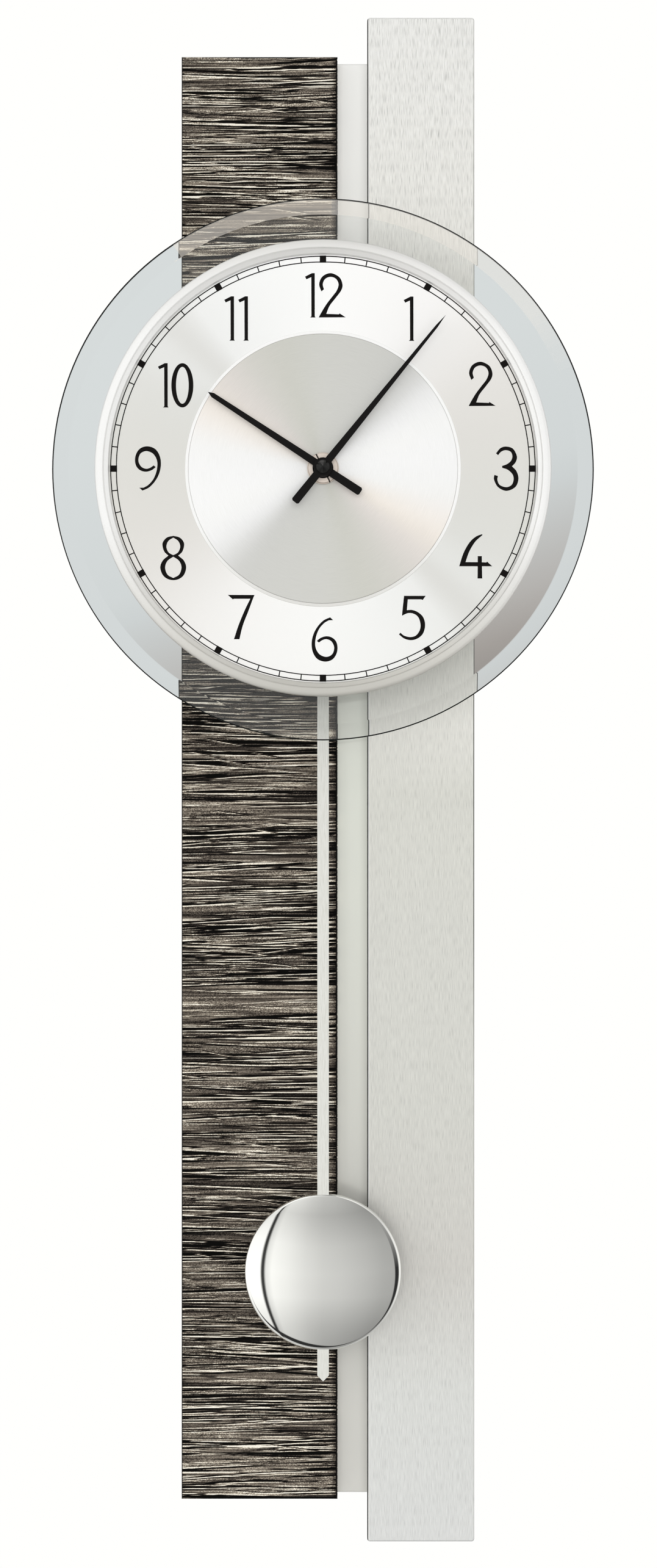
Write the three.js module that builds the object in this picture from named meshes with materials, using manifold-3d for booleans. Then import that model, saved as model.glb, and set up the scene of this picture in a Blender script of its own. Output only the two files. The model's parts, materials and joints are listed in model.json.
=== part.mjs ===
// Wall pendulum clock: two upright panels on a lacquered board, a round dial on a glass disc
// that stands in front of them, a quartz movement with its wheel train, and a swinging pendulum.
// Millimetres, +Z up. The viewer stands at -Y. The origin is the hanging point on the wall plane.
// Every depth is a distance from the wall toward the viewer, so a depth d lies at y = -d.
// Heights and sideways places are measured from the hand axis at the dial's centre.

import * as THREE from "three";
import { mergeVertices } from "three/addons/utils/BufferGeometryUtils.js";
import Module from "manifold-3d";

// Board and panels
const boardHeight = 631.7;
const boardThickness = 12;
const boardTop = 185;
const boardInset = 2;
const boardCorner = 2;
const stripLeft = 6.3;
const stripWidth = 13.1;
const woodWidth = 68.5;
const woodOverhang = 1.1;
const woodCorner = 1;
const panelThickness = 9;
const faceWidth = 47.1;
const faceOverhangTop = 18.4;
const faceOverhangBottom = 19.9;
const faceSheet = 1.2;
const edgeChamfer = 0.6;
const coreClearance = 0.3;

// Keyhole hanger
const hangerDrop = 35;
const hangerWidth = 52;
const hangerHeight = 34;
const hangerSheet = 1.5;
const hangerSink = 2;
const hangerHeadHeight = 1.6;
const hangerLift = 11;
const keyholeEntry = 4.8;
const keyholeSlot = 2.3;
const keyholeTravel = 13;
const headRoom = 7;
const hangerScrewSpan = 38;

// Screws
const screwShank = 1.75;
const screwHead = 3.4;
const screwHeadHeight = 2.5;
const screwHeadSink = 0.5;
const screwFit = 0.3;
const panelScrewLength = 14.5;
const panelScrewInset = 30;
const woodScrewInset = 20.6;
const panelScrewSink = 2;
const hangerScrewLength = 6;
const housingScrewBite = 11;

// Housing that carries the dial
const housingWidth = 112;
const housingTop = 76;
const housingFoot = 60;
const housingWall = 2.5;
const housingPlate = 3;
const housingCorner = 18;
const bossRadius = 6;
const housingBossTop = 54;
const housingBossFoot = 46;
const windowMargin = 3;
const windowTop = 67;

// Glass, dial and bezel
const glassRadius = 115;
const glassThickness = 4;
const glassBevelWidth = 6.8;
const glassEdge = 3.4;
const glassBore = 5.5;
const gasketThickness = 1;
const gasketRadius = 28;
const padThickness = 1;
const padInner = 62;
const padWidth = 20;
const dialRadius = 94.1;
const dialThickness = 1.5;
const centreDiscRadius = 57.6;
const centreDiscThickness = 0.6;
const bezelRadius = 96.5;
const bezelStep = 92.9;
const bezelInner = 90.5;
const bezelHeight = 7;
const bezelStepDrop = 1.6;
const bezelInnerDrop = 2.8;
const bezelRound = 1.2;
const bezelFit = 0.3;

// Centre fixing and hands
const bushingRadius = 4;
const bushingBore = 2.9;
const bushingProud = 0.1;
const washerRadius = 6.2;
const washerThickness = 0.6;
const ringNutRadius = 6.7;
const ringNutThickness = 2.5;
const ringNutNotch = 1.1;
const ringNutNotches = 4;
const ringNutTurn = 45;
const stackFit = 0.4;
const handThickness = 0.6;
const handHub = 4;
const handAir = 0.4;
const collarWall = 0.9;
const collarHeight = 1.4;
const hourHandLength = 58;
const minuteHandLength = 82.2;
const handTail = 19;
const handWidth = 3.2;
const tailWidth = 3.5;
const hourTipWidth = 2;
const minuteTipWidth = 1.1;
const hourPoint = 2.4;
const minutePoint = 6;
const handSpacing = 2;
const handNutRadius = 2.8;
const handNutHeight = 4;
const handNutTop = 1.7;
const handNutBand = 1.3;
const handNutDepth = 3.2;
const handFit = 0.1;
const shownHour = 10;
const shownMinute = 6.5;

// Movement case
const caseWidth = 56;
const caseDepth = 20;
const caseWall = 1.5;
const caseBackThickness = 2;
const caseShoulder = 26;
const caseTop = 62;
const driveWidth = 40;
const caseCorner = 3;
const trainRoom = 19.5;
const postRadius = 1.4;
const plateInset = 2.5;
const platePosts = [
  [-13.5, -8],
  [-10, 16],
  [12.5, 10],
];

// Battery bay
const batteryRadius = 7.1;
const batteryLength = 49.2;
const batteryNub = 2.7;
const batteryNubHeight = 1;
const bayClearance = 1;
const contactSheet = 0.4;
const contactHeight = 10;
const springWire = 0.3;
const springRadius = 4.6;
const springInner = 1.4;
const springTurns = 2.5;

// Wheel train: teeth and modules, from the rotor down to the hour wheel
const rotorLeaves = 6;
const intermediateTeeth = 36;
const rotorModule = 0.372;
const intermediateLeaves = 6;
const secondsTeeth = 30;
const secondsModule = 0.53;
const secondsLeaves = 6;
const thirdTeeth = 45;
const thirdModule = 0.48;
const thirdLeaves = 6;
const centreTeeth = 48;
const cannonLeaves = 10;
const minuteTeeth = 30;
const motionModule = 0.48;
const minuteLeaves = 8;
const hourTeeth = 32;
const knobLeaves = 10;
const wheelTooth = { root: 1.6, tip: 0.9, rootShare: 1, tipShare: 0.12 };
const leafTooth = { root: 1.35, tip: 0.7, rootShare: 0.34, tipShare: 0.2 };
const wheelThickness = 0.8;
const pinionLength = 1.9;
const gearAir = 0.3;
const arborRadius = 0.8;
const pivotRadius = 0.5;
const bearingRadius = 1.8;
const bearingHeight = 1;
const minuteArborRadius = 1.4;
const hourTubeWall = 0.7;
const hourTubeAir = 0.4;
const studRadius = 0.7;
const middlePlateThickness = 1;

// Directions of the wheel train's arbors, in degrees from +X toward +Z
const thirdDirection = 115;
const intermediateDirection = 215;
const rotorDirection = 255;
const minuteWheelDirection = -10;
const knobDirection = -15;

// Stepping motor, circuit and setting knob
const rotorMagnetRadius = 3;
const statorHole = 3.6;
const statorThickness = 1;
const statorMargin = 2.6;
const statorRim = 1;
const coilRadius = 2.8;
const coilLength = 17;
const coilLeft = -0.5;
const coilFlange = 1;
const coreWidth = 2.4;
const coreFit = 0.3;
const boardWidthPcb = 30;
const boardHeightPcb = 18;
const pcbThickness = 1.2;
const pcbLift = 33;
const pcbPostSpan = 20;
const chipWidth = 8;
const chipHeight = 6;
const chipThickness = 1.4;
const crystalRadius = 1;
const crystalLength = 6;
const crystalLift = 6;
const knobRadius = 5.6;
const knobHeight = 3.6;
const knobLobes = 12;
const knobLobeDepth = 0.5;
const knobArbor = 1.2;

// Pendulum
const pendulumStandoff = 19;
const pivotHeight = 52;
const pivotPinRadius = 1.1;
const pinHead = 2.6;
const pinHeadHeight = 1;
const pinFit = 0.4;
const leaderThickness = 4;
const leaderClearance = 0.55;
const leaderAir = 0.7;
const leaderHub = 5;
const leaderWidth = 7;
const leaderMagnetBoss = 7;
const magnetDrop = 22;
const magnetRadius = 5;
const magnetHeight = 2.3;
const hookDrop = 72;
const hookPinRadius = 1.5;
const rodWidth = 5;
const rodThickness = 1.5;
const rodEye = 5;
const rodPoint = 2.6;
const bobDrop = 345.3;
const rodBelowBob = 47.4;
const bobRadius = 34;
const bobRise = 9;
const bobSheet = 1;
const bobBackSheet = 1;
const bobGap = 0.2;
const clipSheet = 0.8;
const clipHeight = 14;
const coilPendulumRadius = 8;
const coilPendulumBore = 3;
const coilPendulumHeight = 3;

// Fineness of round shapes
const fineFacets = 44;
const roundFacets = 24;
const smallFacets = 14;
const tinyFacets = 8;
const boreFacets = 20;
const bobFacets = 36;
const cornerSteps = 2;
const domeSteps = 4;
const springSteps = 8;
const springSides = 3;
const weldDistance = 1e-4;
const past = 1;
const halfTurn = 180;
const fullTurn = 360;

// Depths from the wall, each stacked on the one behind it
const panelFront = boardThickness + panelThickness;
const rodPlane = panelFront + pendulumStandoff;
const rodBack = rodPlane - rodThickness / 2;
const rodFront = rodPlane + rodThickness / 2;
const leaderBack = rodFront + leaderClearance;
const leaderFront = leaderBack + leaderThickness;
const caseRear = leaderFront + leaderAir;
const caseFloor = caseRear + caseBackThickness;
const caseFace = caseRear + caseDepth;
const caseCeiling = caseFace - caseWall;
const housingFront = caseFace + housingPlate;
const glassBack = housingFront + gasketThickness;
const glassFront = glassBack + glassThickness;
const dialBack = glassFront + padThickness;
const dialFront = dialBack + dialThickness;
const centreDiscFront = dialFront + centreDiscThickness;
const washerFront = centreDiscFront + washerThickness;
const ringNutFront = washerFront + ringNutThickness;
const bushingFront = ringNutFront + bushingProud;
const hourHandBack = bushingFront + handAir + collarHeight;
const hourHandFront = hourHandBack + handThickness;
const minuteHandBack = hourHandFront + handSpacing;
const minuteHandFront = minuteHandBack + handThickness;

// Edges of the panels, seen from the front
const boardBottom = boardTop - boardHeight;
const woodLeft = stripLeft - woodWidth;
const faceLeft = stripLeft + stripWidth;
const faceRight = faceLeft + faceWidth;
const hangerHeightAbove = boardTop - hangerDrop;

// Layers of the wheel train, from the case back forward
const intermediateWheelBack = caseFloor + bearingHeight + gearAir;
const intermediateWheelFront = intermediateWheelBack + wheelThickness;
const secondsWheelBack = intermediateWheelFront + 2 * gearAir;
const secondsWheelFront = secondsWheelBack + wheelThickness;
const secondsPinionFront = secondsWheelFront + pinionLength;
const thirdWheelBack = secondsWheelFront + (pinionLength - wheelThickness) / 2;
const minuteArborBack = secondsPinionFront + gearAir;
const middlePlateBack = minuteArborBack + 3 * gearAir;
const middlePlateFront = middlePlateBack + middlePlateThickness;
const thirdPinionBack = middlePlateFront + gearAir;
const centreWheelBack = thirdPinionBack + gearAir;
const centreWheelFront = centreWheelBack + wheelThickness;
const cannonBack = centreWheelFront + 2 * gearAir;
const cannonFront = cannonBack + pinionLength;
const minuteWheelBack = cannonBack + 2 * gearAir;
const minuteWheelFront = minuteWheelBack + wheelThickness;
const hourWheelBack = cannonFront + gearAir;
const hourWheelFront = hourWheelBack + wheelThickness;
const minutePinionFront = hourWheelFront + 2 * gearAir;

// Distances between meshing arbors, and the modules that the coaxial pairs share
const centreDistance = ((secondsLeaves + thirdTeeth) * thirdModule) / 2;
const centreModule = (2 * centreDistance) / (centreTeeth + thirdLeaves);
const motionDistance = ((cannonLeaves + minuteTeeth) * motionModule) / 2;
const hourModule = (2 * motionDistance) / (hourTeeth + minuteLeaves);
const intermediateDistance = ((secondsTeeth + intermediateLeaves) * secondsModule) / 2;
const rotorDistance = ((intermediateTeeth + rotorLeaves) * rotorModule) / 2;
const knobDistance = ((minuteTeeth + knobLeaves) * motionModule) / 2;
const thirdPlace = stepFrom([0, 0], centreDistance, thirdDirection);
const intermediatePlace = stepFrom([0, 0], intermediateDistance, intermediateDirection);
const rotorPlace = stepFrom(intermediatePlace, rotorDistance, rotorDirection);
const minuteWheelPlace = stepFrom([0, 0], motionDistance, minuteWheelDirection);
const knobPlace = stepFrom(minuteWheelPlace, knobDistance, knobDirection);

// Finishes
const lacquer = { color: 0xeceae4, roughness: 0.12, metalness: 0.0 };
const driftwood = { color: 0x66615a, roughness: 0.6, metalness: 0.0 };
const brushed = { color: 0xdcdbd6, roughness: 0.35, metalness: 0.9 };
const fibreboard = { color: 0xa98d68, roughness: 0.9, metalness: 0.0 };
const steel = { color: 0xb9bbbd, roughness: 0.35, metalness: 1.0 };
const clearGlass = { color: 0xdfe8e6, roughness: 0.03, metalness: 0.0 };
const satinSilver = { color: 0xdcdbd9, roughness: 0.4, metalness: 0.7 };
const palePlastic = { color: 0xd9d8d4, roughness: 0.5, metalness: 0.0 };
const darkPlastic = { color: 0x1b1b1d, roughness: 0.45, metalness: 0.0 };
const blackEnamel = { color: 0x101012, roughness: 0.3, metalness: 0.1 };
const brass = { color: 0xd9b48f, roughness: 0.3, metalness: 1.0 };
const nylon = { color: 0xefece2, roughness: 0.5, metalness: 0.0 };
const rubber = { color: 0x2b2b2b, roughness: 0.9, metalness: 0.0 };
const copper = { color: 0xb5673a, roughness: 0.35, metalness: 0.8 };
const circuitGreen = { color: 0x2f6b3f, roughness: 0.5, metalness: 0.0 };
const cellSleeve = { color: 0x8f9498, roughness: 0.4, metalness: 0.3 };
const chrome = { color: 0xd6d5d0, roughness: 0.06, metalness: 1.0 };

const wasm = await Module();
wasm.setup();

function stepFrom(place, distance, degrees) {
  const angle = THREE.MathUtils.degToRad(degrees);
  return [place[0] + distance * Math.cos(angle), place[1] + distance * Math.sin(angle)];
}

// A closed geometry as a solid that can be joined and cut
function solidOf(geometry) {
  const bare = new THREE.BufferGeometry();
  bare.setAttribute("position", geometry.getAttribute("position"));
  if (geometry.index) {
    bare.setIndex(geometry.index);
  }
  const welded = mergeVertices(bare, weldDistance);
  const index = welded.index.array;
  const corners = [];
  for (let i = 0; i < index.length; i += 3) {
    const [a, b, c] = index.slice(i, i + 3);
    if (a !== b && b !== c && c !== a) {
      corners.push(a, b, c);
    }
  }
  const mesh = new wasm.Mesh({
    numProp: 3,
    vertProperties: welded.attributes.position.array,
    triVerts: new Uint32Array(corners),
  });
  return new wasm.Manifold(mesh);
}

function geometryOf(solid) {
  const mesh = solid.getMesh();
  const geometry = new THREE.BufferGeometry();
  geometry.setAttribute("position", new THREE.BufferAttribute(mesh.vertProperties, 3));
  geometry.setIndex(new THREE.BufferAttribute(mesh.triVerts, 1));
  geometry.computeVertexNormals();
  return geometry;
}

function piece(name, solid, finish) {
  const mesh = new THREE.Mesh(geometryOf(solid), new THREE.MeshStandardMaterial(finish));
  mesh.name = name;
  return mesh;
}

// A flat outline, seen from the front, given thickness between two depths
function slab(outline, back, front, chamfer = 0) {
  const geometry = new THREE.ExtrudeGeometry(outline, {
    depth: front - back - 2 * chamfer,
    bevelEnabled: chamfer > 0,
    bevelThickness: chamfer,
    bevelSize: chamfer,
    bevelOffset: -chamfer,
    bevelSegments: 1,
    curveSegments: cornerSteps,
  });
  geometry.translate(0, 0, back + chamfer);
  geometry.rotateX(Math.PI / 2);
  return solidOf(geometry);
}

// A profile of [radius, depth] points turned about the front-to-back axis
function turned(profile, facets) {
  const points = profile.map(([radius, depth]) => new THREE.Vector2(radius, -depth));
  if (THREE.ShapeUtils.area(points) < 0) {
    points.reverse();
  }
  const onAxis = points[0].x === 0 && points[points.length - 1].x === 0;
  if (!onAxis) {
    points.push(points[0].clone());
  }
  return solidOf(new THREE.LatheGeometry(points, facets));
}

function disc(radius, back, front, facets = smallFacets) {
  return turned([[0, back], [radius, back], [radius, front], [0, front]], facets);
}

function ring(inner, outer, back, front, facets = roundFacets) {
  return turned([[inner, back], [outer, back], [outer, front], [inner, front]], facets);
}

function at(solid, [x, z]) {
  return solid.translate([x, 0, z]);
}

function block(left, right, bottom, top, back, front) {
  const geometry = new THREE.BoxGeometry(right - left, front - back, top - bottom);
  geometry.translate((left + right) / 2, -(back + front) / 2, (bottom + top) / 2);
  return solidOf(geometry);
}

function roundedBox(left, right, bottom, top, radius) {
  const shape = new THREE.Shape();
  shape.absarc(right - radius, bottom + radius, radius, -Math.PI / 2, 0);
  shape.absarc(right - radius, top - radius, radius, 0, Math.PI / 2);
  shape.absarc(left + radius, top - radius, radius, Math.PI / 2, Math.PI);
  shape.absarc(left + radius, bottom + radius, radius, Math.PI, 1.5 * Math.PI);
  return shape;
}

function joined(solids) {
  return solids.reduce((sum, solid) => sum.add(solid));
}

function without(solid, cuts) {
  return cuts.reduce((rest, cut) => rest.subtract(cut), solid);
}

// The outline of a toothed wheel, with one tooth centred on the direction phase, in radians.
// Shares are half widths of the tooth over half the pitch, so at 1 two teeth meet in one point.
function toothedOutline(teeth, module, form, phase) {
  const pitchRadius = (teeth * module) / 2;
  const halfPitch = Math.PI / teeth;
  const rootRadius = pitchRadius - form.root * module;
  const tipRadius = pitchRadius + form.tip * module;
  const flank = [
    [rootRadius, -form.rootShare], [tipRadius, -form.tipShare], [tipRadius, form.tipShare],
  ];
  if (form.rootShare < 1) {
    flank.push([rootRadius, form.rootShare]);
  }
  const points = [];
  for (let tooth = 0; tooth < teeth; tooth += 1) {
    for (const [radius, share] of flank) {
      const angle = phase + (2 * tooth + share) * halfPitch;
      points.push(new THREE.Vector2(radius * Math.cos(angle), radius * Math.sin(angle)));
    }
  }
  return new THREE.Shape(points);
}

function wheel(teeth, module, phase, back) {
  return slab(toothedOutline(teeth, module, wheelTooth, phase), back, back + wheelThickness);
}

function pinion(leaves, module, phase, back, front) {
  return slab(toothedOutline(leaves, module, leafTooth, phase), back, front);
}

// The phase that puts a gap of the second wheel over a tooth of the first
function meshed(phase, teeth, direction, otherTeeth) {
  const toward = THREE.MathUtils.degToRad(direction);
  return toward + Math.PI - ((phase - toward) * teeth) / otherTeeth - Math.PI / otherTeeth;
}

// An arbor with a thin pivot on each end
function arbor(back, front, pivotBack, pivotFront) {
  return turned([
    [0, pivotBack], [pivotRadius, pivotBack], [pivotRadius, back], [arborRadius, back],
    [arborRadius, front], [pivotRadius, front], [pivotRadius, pivotFront], [0, pivotFront],
  ], tinyFacets);
}

// Screw places on the board
const woodScrewX = woodLeft + woodScrewInset;
const faceScrewX = faceLeft + faceWidth / 2;
const panelScrewRows = [
  boardTop - panelScrewInset,
  boardTop - boardHeight / 2,
  boardBottom + panelScrewInset,
];
const woodScrewPlaces = panelScrewRows.map((row) => [woodScrewX, row]);
const faceScrewPlaces = panelScrewRows.map((row) => [faceScrewX, row]);
const housingBossX = housingWidth / 2 - housingWall - bossRadius + edgeChamfer;
const housingScrewPlaces = [
  [-housingBossX, housingBossTop],
  [housingBossX, housingBossTop],
  [-housingBossX, -housingBossFoot],
  [housingBossX, -housingBossFoot],
];
const hangerScrewPlaces = [
  [-hangerScrewSpan / 2, hangerHeightAbove],
  [hangerScrewSpan / 2, hangerHeightAbove],
];
const caseBottom = -(trainRoom + caseWall + 2 * batteryRadius + 2 * bayClearance + caseWall);
const windowHalf = caseWidth / 2 + windowMargin;
const windowFoot = caseBottom - windowMargin - windowMargin;
const housingScrewEnd = panelFront + housingScrewBite;
const screwHoleRadius = screwShank + screwFit;

function accessWindow() {
  return block(-windowHalf, windowHalf, windowFoot, windowTop, -past, panelFront + past);
}

function screwHoles(places, back, front) {
  return places.map((place) => at(disc(screwHoleRadius, back, front, tinyFacets), place));
}

function counterbores(places) {
  const floor = screwHeadSink + screwHeadHeight;
  return places.map((place) => at(disc(screwHead + screwFit, -past, floor, tinyFacets), place));
}

// A pan-head screw driven forward from the back
function screw(length, headBack) {
  const neck = headBack + screwHeadHeight;
  return turned([
    [0, headBack], [screwHead - edgeChamfer, headBack], [screwHead, headBack + edgeChamfer],
    [screwHead, neck], [screwShank, neck], [screwShank, neck + length], [0, neck + length],
  ], tinyFacets);
}

function keyhole(back, front, entry, slot) {
  return [
    at(disc(entry, back, front, boreFacets), [0, hangerHeightAbove - keyholeTravel]),
    at(disc(slot, back, front, boreFacets), [0, hangerHeightAbove]),
    block(-slot, slot, hangerHeightAbove - keyholeTravel, hangerHeightAbove, back, front),
  ];
}

function hangerOutline(grow) {
  const top = hangerHeightAbove + hangerLift + grow;
  const bottom = hangerHeightAbove + hangerLift - hangerHeight - grow;
  const half = hangerWidth / 2 + grow;
  return roundedBox(-half, half, bottom, top, boardCorner);
}

function backBoard() {
  const outline = roundedBox(
    woodLeft + boardInset, faceRight - boardInset, boardBottom, boardTop, boardCorner);
  const body = slab(outline, 0, boardThickness, edgeChamfer);
  const plateFloor = hangerSink + hangerSheet;
  const through = [...woodScrewPlaces, ...faceScrewPlaces, ...housingScrewPlaces];
  return without(body, [
    accessWindow(),
    slab(hangerOutline(screwFit), -past, plateFloor),
    ...keyhole(-past, plateFloor + headRoom, keyholeEntry + past, keyholeEntry + past),
    ...screwHoles(hangerScrewPlaces, -past, plateFloor + hangerScrewLength + past),
    ...counterbores(through),
    ...screwHoles(through, -past, boardThickness + past),
  ]);
}

function hangerPlate() {
  const floor = hangerSink + hangerSheet;
  return without(slab(hangerOutline(0), hangerSink, floor), [
    ...keyhole(-past, floor + past, keyholeEntry, keyholeSlot),
    ...screwHoles(hangerScrewPlaces, -past, floor + past),
  ]);
}

// A short screw whose head lies behind the hanger's sheet, inside the board's pocket
function hangerScrew() {
  const floor = hangerSink + hangerSheet;
  return turned([
    [0, hangerSink - hangerHeadHeight], [screwHead, hangerSink - hangerHeadHeight],
    [screwHead, hangerSink], [screwShank, hangerSink],
    [screwShank, floor + hangerScrewLength], [0, floor + hangerScrewLength],
  ], tinyFacets);
}

function woodPanel() {
  const top = boardTop + woodOverhang;
  const bottom = boardBottom - woodOverhang;
  const outline = roundedBox(woodLeft, stripLeft, bottom, top, woodCorner);
  const body = slab(outline, boardThickness, panelFront, edgeChamfer);
  const blind = panelFront - panelScrewSink;
  return without(body, [
    accessWindow(),
    ...screwHoles(woodScrewPlaces, boardThickness - past, blind),
    ...screwHoles(housingScrewPlaces, boardThickness - past, panelFront + past),
  ]);
}

const faceTop = boardTop + faceOverhangTop;
const faceBottom = boardBottom - faceOverhangBottom;

// The folded tray of brushed sheet, open at the back
function aluminiumFace() {
  const outline = roundedBox(faceLeft, faceRight, faceBottom, faceTop, faceSheet);
  const body = slab(outline, boardThickness, panelFront, edgeChamfer);
  const hollow = block(
    faceLeft + faceSheet, faceRight - faceSheet, faceBottom + faceSheet, faceTop - faceSheet,
    boardThickness - past, panelFront - faceSheet);
  return without(body, [
    hollow,
    accessWindow(),
    ...screwHoles(housingScrewPlaces, boardThickness - past, panelFront + past),
  ]);
}

function aluminiumCore() {
  const inset = faceSheet + coreClearance;
  const body = block(
    faceLeft + inset, faceRight - inset, faceBottom + inset, faceTop - inset,
    boardThickness, panelFront - faceSheet);
  const blind = panelFront - panelScrewSink;
  return without(body, [
    accessWindow(),
    ...screwHoles(faceScrewPlaces, boardThickness - past, blind),
    ...screwHoles(housingScrewPlaces, boardThickness - past, panelFront + past),
  ]);
}

// The moulded housing: a front plate, two sides and a top, open below for the rod
function movementHousing() {
  const half = housingWidth / 2;
  const low = -housingFoot - housingCorner;
  const outer = slab(
    roundedBox(-half, half, low, housingTop, housingCorner), panelFront, housingFront);
  const inner = slab(
    roundedBox(-half + housingWall, half - housingWall, low + housingWall,
      housingTop - housingWall, housingCorner - housingWall),
    panelFront - past, caseFace);
  const foot = block(-half - past, half + past, low - past, -housingFoot,
    panelFront - past, housingFront + past);
  const bosses = housingScrewPlaces.map(
    (place) => at(disc(bossRadius, panelFront, caseFace + edgeChamfer), place));
  return without(outer.subtract(inner).add(joined(bosses)), [
    foot,
    disc(bushingRadius + stackFit, caseFace - past, housingFront + past),
    ...screwHoles(housingScrewPlaces, panelFront - past, housingScrewEnd + past),
  ]);
}

// The clear disc, with a wide polished bevel round its front edge
function glassDisc() {
  return turned([
    [glassBore, glassBack], [glassRadius, glassBack], [glassRadius, glassBack + glassEdge],
    [glassRadius - glassBevelWidth, glassFront], [glassBore, glassFront],
  ], fineFacets);
}

function dialPlate() {
  return ring(bushingRadius + stackFit, dialRadius, dialBack, dialFront, fineFacets);
}

// The stepped bezel: an outer rounded band, a step down, and a lip over the dial's edge
function bezelRing() {
  const top = dialBack + bezelHeight;
  return turned([
    [bezelRadius, dialBack],
    [bezelRadius, top - bezelRound],
    [bezelRadius - bezelRound, top],
    [bezelStep, top],
    [bezelStep, top - bezelStepDrop],
    [bezelInner, top - bezelStepDrop - bezelInnerDrop],
    [bezelInner, dialFront],
    [dialRadius + bezelFit, dialFront],
    [dialRadius + bezelFit, dialBack],
  ], fineFacets);
}

// The knurled ring nut on the bushing, with spanner notches
function ringNut() {
  const body = turned([
    [bushingRadius + handFit, washerFront], [ringNutRadius, washerFront],
    [ringNutRadius, ringNutFront - edgeChamfer],
    [ringNutRadius - edgeChamfer, ringNutFront],
    [bushingRadius + handFit, ringNutFront],
  ], roundFacets);
  const notches = [];
  for (let notch = 0; notch < ringNutNotches; notch += 1) {
    const cut = block(
      -ringNutNotch / 2, ringNutNotch / 2, ringNutRadius - ringNutNotch, ringNutRadius + past,
      washerFront + ringNutThickness / 2, ringNutFront + past);
    notches.push(cut.rotate([0, ringNutTurn + (notch * fullTurn) / ringNutNotches, 0]));
  }
  return without(body, notches);
}

// A tapered blade that points up, with a square tail below the hub
function handOutline(length, tipWidth, point) {
  return new THREE.Shape([
    new THREE.Vector2(-tailWidth / 2 + edgeChamfer, -handTail),
    new THREE.Vector2(tailWidth / 2 - edgeChamfer, -handTail),
    new THREE.Vector2(tailWidth / 2, -handTail + edgeChamfer),
    new THREE.Vector2(handWidth / 2, 0),
    new THREE.Vector2(tipWidth / 2, length - point),
    new THREE.Vector2(0, length),
    new THREE.Vector2(-tipWidth / 2, length - point),
    new THREE.Vector2(-handWidth / 2, 0),
    new THREE.Vector2(-tailWidth / 2, -handTail + edgeChamfer),
  ]);
}

function hand(outline, back, bore) {
  const front = back + handThickness;
  const blade = slab(outline, back, front);
  const hub = disc(handHub, back, front, boreFacets);
  const collar = disc(bore + collarWall, back - collarHeight, front);
  return blade.add(hub).add(collar).subtract(
    disc(bore, back - collarHeight - past, front + past));
}

const hourTubeRadius = minuteArborRadius + hourTubeAir + hourTubeWall;

function hourHand() {
  const outline = handOutline(hourHandLength, hourTipWidth, hourPoint);
  return hand(outline, hourHandBack, hourTubeRadius + handFit);
}

function minuteHand() {
  const outline = handOutline(minuteHandLength, minuteTipWidth, minutePoint);
  return hand(outline, minuteHandBack, minuteArborRadius + handFit);
}

const handThread = minuteArborRadius - hourTubeAir;

// The conical cap nut that holds the minute hand
function handNut() {
  const top = minuteHandFront + handNutHeight;
  const bore = handThread + handFit;
  const boreEnd = minuteHandFront + handNutDepth;
  return turned([
    [bore, minuteHandFront], [handNutRadius, minuteHandFront],
    [handNutRadius, minuteHandFront + handNutBand],
    [handNutTop, top], [0, top], [0, boreEnd], [bore, boreEnd],
  ], smallFacets);
}

function caseOutline(inset) {
  const half = caseWidth / 2 - inset;
  const upper = driveWidth / 2 - inset;
  const radius = Math.max(caseCorner - inset, edgeChamfer);
  const shoulder = caseShoulder - inset;
  const shape = new THREE.Shape();
  shape.absarc(half - radius, caseBottom + inset + radius, radius, -Math.PI / 2, 0);
  shape.absarc(half - radius, shoulder - radius, radius, 0, Math.PI / 2);
  shape.lineTo(upper, shoulder);
  shape.absarc(upper - radius, caseTop - inset - radius, radius, 0, Math.PI / 2);
  shape.absarc(-upper + radius, caseTop - inset - radius, radius, Math.PI / 2, Math.PI);
  shape.lineTo(-upper, shoulder);
  shape.absarc(-half + radius, shoulder - radius, radius, Math.PI / 2, Math.PI);
  shape.absarc(-half + radius, caseBottom + inset + radius, radius, Math.PI, 1.5 * Math.PI);
  return shape;
}

const pcbPosts = [
  [-pcbPostSpan / 2, pcbLift],
  [pcbPostSpan / 2, pcbLift],
];
const pcbBack = caseCeiling - 3 * gearAir - 2 * pcbThickness - chipThickness;
const pcbFront = pcbBack + pcbThickness;
const bayTop = -trainRoom - caseWall;
const bayBottom = caseBottom + caseWall;
const bayHalf = caseWidth / 2 - caseWall;
const batteryPlace = [0, bayBottom + bayClearance + batteryRadius];
const batteryDepth = (caseFloor + caseCeiling) / 2;

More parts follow.
